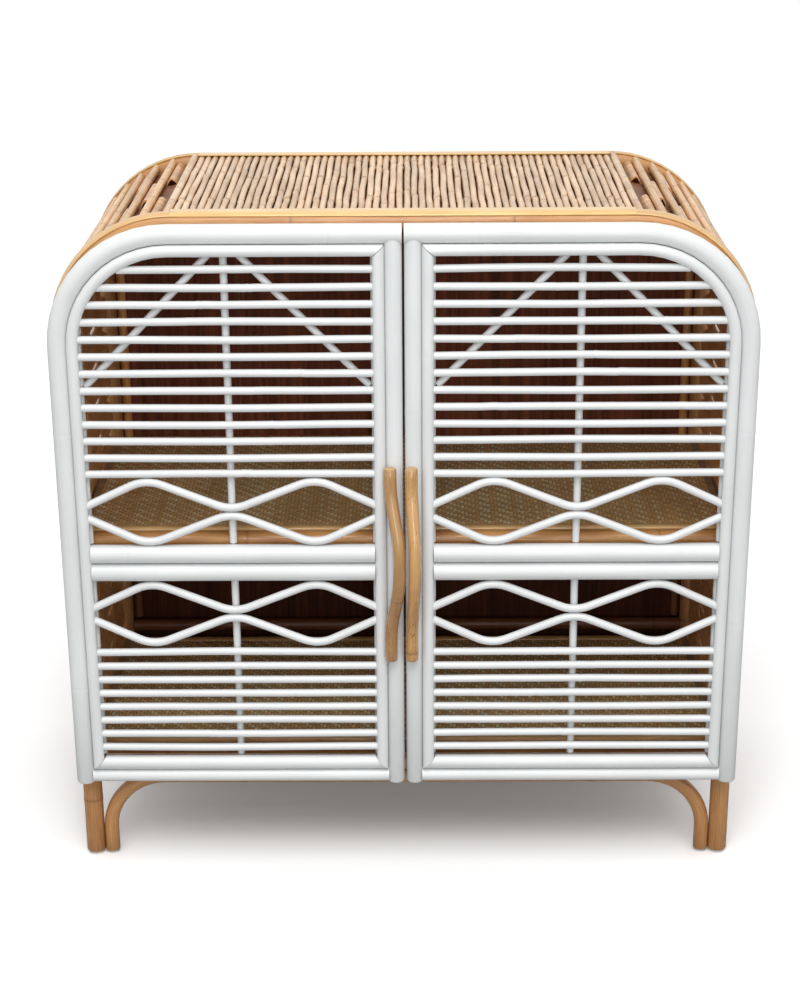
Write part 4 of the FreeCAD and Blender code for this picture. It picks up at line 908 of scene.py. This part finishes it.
def inner_frame(hand, sign):
    """Bow, upright and sill, sawn at 45 degrees where they meet."""
    gap, over = 0.0004, 0.02
    outer, inner, low, high = 0.46372, 0.03442, 0.17345, 0.96472
    bow = white_pole(sign, 0.0084, [(outer, 0.008, low - over), (outer, 0.008, high, 0.1382),
                                    (inner - over, 0.008, high)],
                     [0.17, 0.43 + 0.03 * sign, 0.93, 1.1], sides=20, swell=0.6)
    upright = white_pole(sign, 0.0084, [(inner, 0.008, low - over), (inner, 0.008, high + over)],
                         [0.19, 0.41, 0.66], sides=20, swell=0.6)
    sill = white_pole(sign, 0.0109, [(inner - over, 0.003, low), (outer + over, 0.003, low)],
                      [0.12, 0.31], sides=20, swell=0.5)
    for piece, x, z, right, up in (
            (bow, outer, low, -1, -1), (bow, inner, high, -1, -1), (upright, inner, high, 1, 1),
            (upright, inner, low, 1, -1), (sill, outer, low, 1, 1), (sill, inner, low, -1, 1)):
        normal = Vector((sign * right, 0, up)).normalized()
        saw(piece, Vector(spot(sign, x, 0, z)) - normal * gap, normal)
    painted(hand, "inner_bow_cane", [bow], "inner_bow")
    painted(hand, "inner_upright_cane", [upright], "inner_stile")
    painted(hand, "inner_sill_cane", [sill], "inner_sill")


def middle_rails(hand, sign):
    """The two thick rails across the door, cut straight between the inner frame's sides."""
    rails = [white_pole(sign, 0.0138, [(0.0426, 0.003, z), (0.4555, 0.003, z)],
                        knots_along(0.41, 0.22, 0.05), sides=24, swell=0.4)
             for z in (0.4857, 0.5139)]
    painted(hand, "middle_rail_poles", rails, "mid_rails")


def bow_inside(z):
    """Where the bow's inside lies at a height, from the middle of the cabinet."""
    reach, centre = 0.1297, (0.32552, 0.82652)
    if z <= centre[1]:
        return OPENING[1]
    return centre[0] + math.sqrt(max(reach ** 2 - (z - centre[1]) ** 2, 0))


def slats(hand, sign):
    """Level slats of both panels, each bent a little, their ends in the inner frame."""
    for panel, heights in (("upper", [0.9379 - 0.025 * k for k in range(13)]),
                           ("lower", [0.201 + 0.0223 * k for k in range(8)])):
        row = []
        for z in heights:
            x0, x1 = OPENING[0] - 0.004, bow_inside(z) + 0.004
            turn = x0 + (x1 - x0) * dice.uniform(0.35, 0.65)
            bent = z + dice.uniform(-0.0018, 0.0018)
            row.append(white_pole(
                sign, 0.0057, [(x0, 0.005, z), (turn, 0.005, bent, 5.0), (x1, 0.005, z)],
                knots_along(x1 - x0, 0.3), sides=14, wander=0.0003, stride=0.12, swell=0.2))
        painted(hand, f"{panel}_slat_canes", row, f"{panel}_slats")


def backing_sticks(hand, sign):
    """Upright sticks and the two sloping ones behind the slats."""
    behind, middle, sticks = -0.0062, sum(OPENING) / 2, []
    for x, high, radius in ((0.4568, 0.8745, 0.0044), (middle, 0.9562, 0.0055),
                            (0.04144, 0.9562, 0.0042)):
        for low, top in ((0.1847, 0.4716), (0.528, high)):
            sticks.append(white_pole(sign, radius, [(x, behind, low), (x, behind, top)],
                                     knots_along(top - low, 0.14), sides=12, wander=0.0003,
                                     stride=0.1, swell=0.8))
    painted(hand, "upright_sticks", sticks, "uprights")
    slopes = [white_pole(sign, 0.0055, [(middle + way * 0.0218, behind, 0.9556),
                                        (middle + way * 0.2006, behind, 0.7671)],
                         knots_along(0.25, 0.12), sides=12, swell=0.8) for way in (1, -1)]
    painted(hand, "sloping_sticks", slopes, "diagonals")


def waved_rods(hand, sign):
    """Two mirrored pairs of rods that bow apart twice and touch at the centre stick."""
    middle, half, peak, bend = sum(OPENING) / 2, 0.21165, 0.1216285, 0.055
    rods = []
    for height in (0.58, 0.4196):
        for way in (1, -1):
            places = [(middle + x, 0.0056, height + way * rise, bend) for x, rise in (
                (-half, 0.008), (-peak, 0.05075), (0, 0.001965), (peak, 0.05075), (half, 0.008))]
            rods.append(white_pole(sign, 0.006, places, [0.055, 0.19, 0.39], swell=0.7))
    painted(hand, "waved_canes", rods, "waves")


def handle(hand, x, sway, seat, knots):
    """A naturally bent cane on the stile, bowed forwards and a little sideways: x is its
    middle, sway how far it bows sideways, seat how far it lies in front of the door's plane."""
    bow, bend = Vector((sway, -0.022, 0)), 0.12
    start = Vector((x, DOOR_Y - seat, 0.501))
    corners = [(*(start + share * bow + Vector((0, 0, rise))), bend)
               for share, rise in ((0, -0.15), (0, -0.099), (1, -0.024), (1, 0.036), (0, 0.114),
                                   (0, 0.15))]
    piece = pole(0.0091, corners, HANDLE_CANE, knots, sides=24,
                 foot=0.0015, head=0.0015, cut=CUT_END, swell=1.1)
    settle(f"{hand}_bent_handle", [piece], "handle_rattan", f"{hand}_handle", body=f"{hand}_door")


# ---------------- what stays from the frame

def dress_frame():
    """Finishes for the flat and rolled parts that keep the frame's own shape."""
    finishes = {"shelf_board": PLY, "deck_board": SHADED_DECK_PLY, "back_panel": PANEL,
                "hinge_leaves": STEEL, "catch_plate": STEEL, "door_catch": CATCH}
    for name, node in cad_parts.items():
        for word, finish in finishes.items():
            if word in name:
                node.data.materials.clear()
                node.data.materials.append(finish)


# ---------------- room, light and camera

def by_ray(tree, rays, hidden, shown):
    """One value, shown, for rays of these kinds and the other, hidden, for all the rest."""
    nodes, links = tree.nodes, tree.links
    path = nodes.new("ShaderNodeLightPath")
    found = path.outputs[rays[0]]
    for ray in rays[1:]:
        most = nodes.new("ShaderNodeMath")
        most.operation = "MAXIMUM"
        links.new(found, most.inputs[0])
        links.new(path.outputs[ray], most.inputs[1])
        found = most.outputs[0]
    level = nodes.new("ShaderNodeMapRange")
    level.inputs["To Min"].default_value = hidden
    level.inputs["To Max"].default_value = shown
    links.new(found, level.inputs["Value"])
    return level.outputs["Result"]


def surroundings():
    """A pale floor that keeps the shadow, and even light from large soft lamps."""
    bpy.ops.mesh.primitive_plane_add(size=30, location=(0, 0, 0))
    floor = bpy.context.object
    floor.name = "floor"
    material = bpy.data.materials.new("pale_floor")
    material.use_nodes = True
    tree = material.node_tree
    tree.nodes.clear()
    output, both, matt, glow = [tree.nodes.new(f"ShaderNode{kind}") for kind in (
        "OutputMaterial", "AddShader", "BsdfDiffuse", "Emission")]
    for start, end in ((by_ray(tree, ["Is Camera Ray"], 0.36, 1.0), matt.inputs["Color"]),
                       (by_ray(tree, ["Is Camera Ray"], 0.0, 0.02), glow.inputs["Strength"]),
                       (matt.outputs[0], both.inputs[0]), (glow.outputs[0], both.inputs[1]),
                       (both.outputs[0], output.inputs["Surface"])):
        tree.links.new(start, end)
    floor.data.materials.append(material)

    world = bpy.data.worlds.new("studio")
    bpy.context.scene.world = world
    world.use_nodes = True
    tree = world.node_tree
    sky = tree.nodes["Background"]
    sky.inputs["Color"].default_value = (1, 1, 1, 1)
    seen = by_ray(tree, ["Is Camera Ray", "Is Glossy Ray", "Is Transmission Ray"], 0.7, 1.0)
    tree.links.new(seen, sky.inputs["Strength"])

    for name, place, size, power in (("key", (0.08, -1.2, 3.3), 44, 1.3),
                                     ("front", (0.25, -3.2, 1.0), 0.32, 10),
                                     ("high", (-0.1, -1.9, 2.4), 0.5, 16)):
        lamp = bpy.data.lights.new(name, "SUN" if name == "key" else "AREA")
        lamp.energy = power
        if name == "key":
            lamp.angle = math.radians(size)
        else:
            lamp.shape = "RECTANGLE"
            lamp.size, lamp.size_y = size, 2.6 * size
        holder = bpy.data.objects.new(name, lamp)
        holder.location = place
        aim = Vector((0, 0, 0.55)) - Vector(place)
        holder.rotation_euler = aim.to_track_quat("-Z", "Y").to_euler()
        bpy.context.scene.collection.objects.link(holder)
    bpy.context.scene.view_settings.view_transform = "Standard"


def camera():
    """A long lens in front of the doors and above the top, looking down."""
    lens = bpy.data.cameras.new("view")
    lens.lens, lens.sensor_width = 72.56, 36
    holder = bpy.data.objects.new("view", lens)
    yaw, pitch, roll = [Matrix.Rotation(math.radians(angle), 4, axis) for angle, axis in (
        (0.45, "Z"), (90 - 20.74, "X"), (-0.37, "Z"))]
    holder.matrix_world = Matrix.Translation((0.01521, -2.92565, 1.6239)) @ yaw @ pitch @ roll
    bpy.context.scene.collection.objects.link(holder)
    bpy.context.scene.camera = holder


camera()
hoops_and_braces()
shelves()
deck()
peel_strips()
side_rods()
side_bands()
back_strips()
for hand, sign in (("left", -1), ("right", 1)):
    for build in (door_frame, inner_frame, middle_rails, slats, backing_sticks, waved_rods):
        build(hand, sign)
handle("left", -0.02005, 0.013, 0.02158, [0.108, 0.281])
handle("right", 0.01045, 0.0045, 0.02202, [0.014, 0.121])
dress_frame()
surroundings()
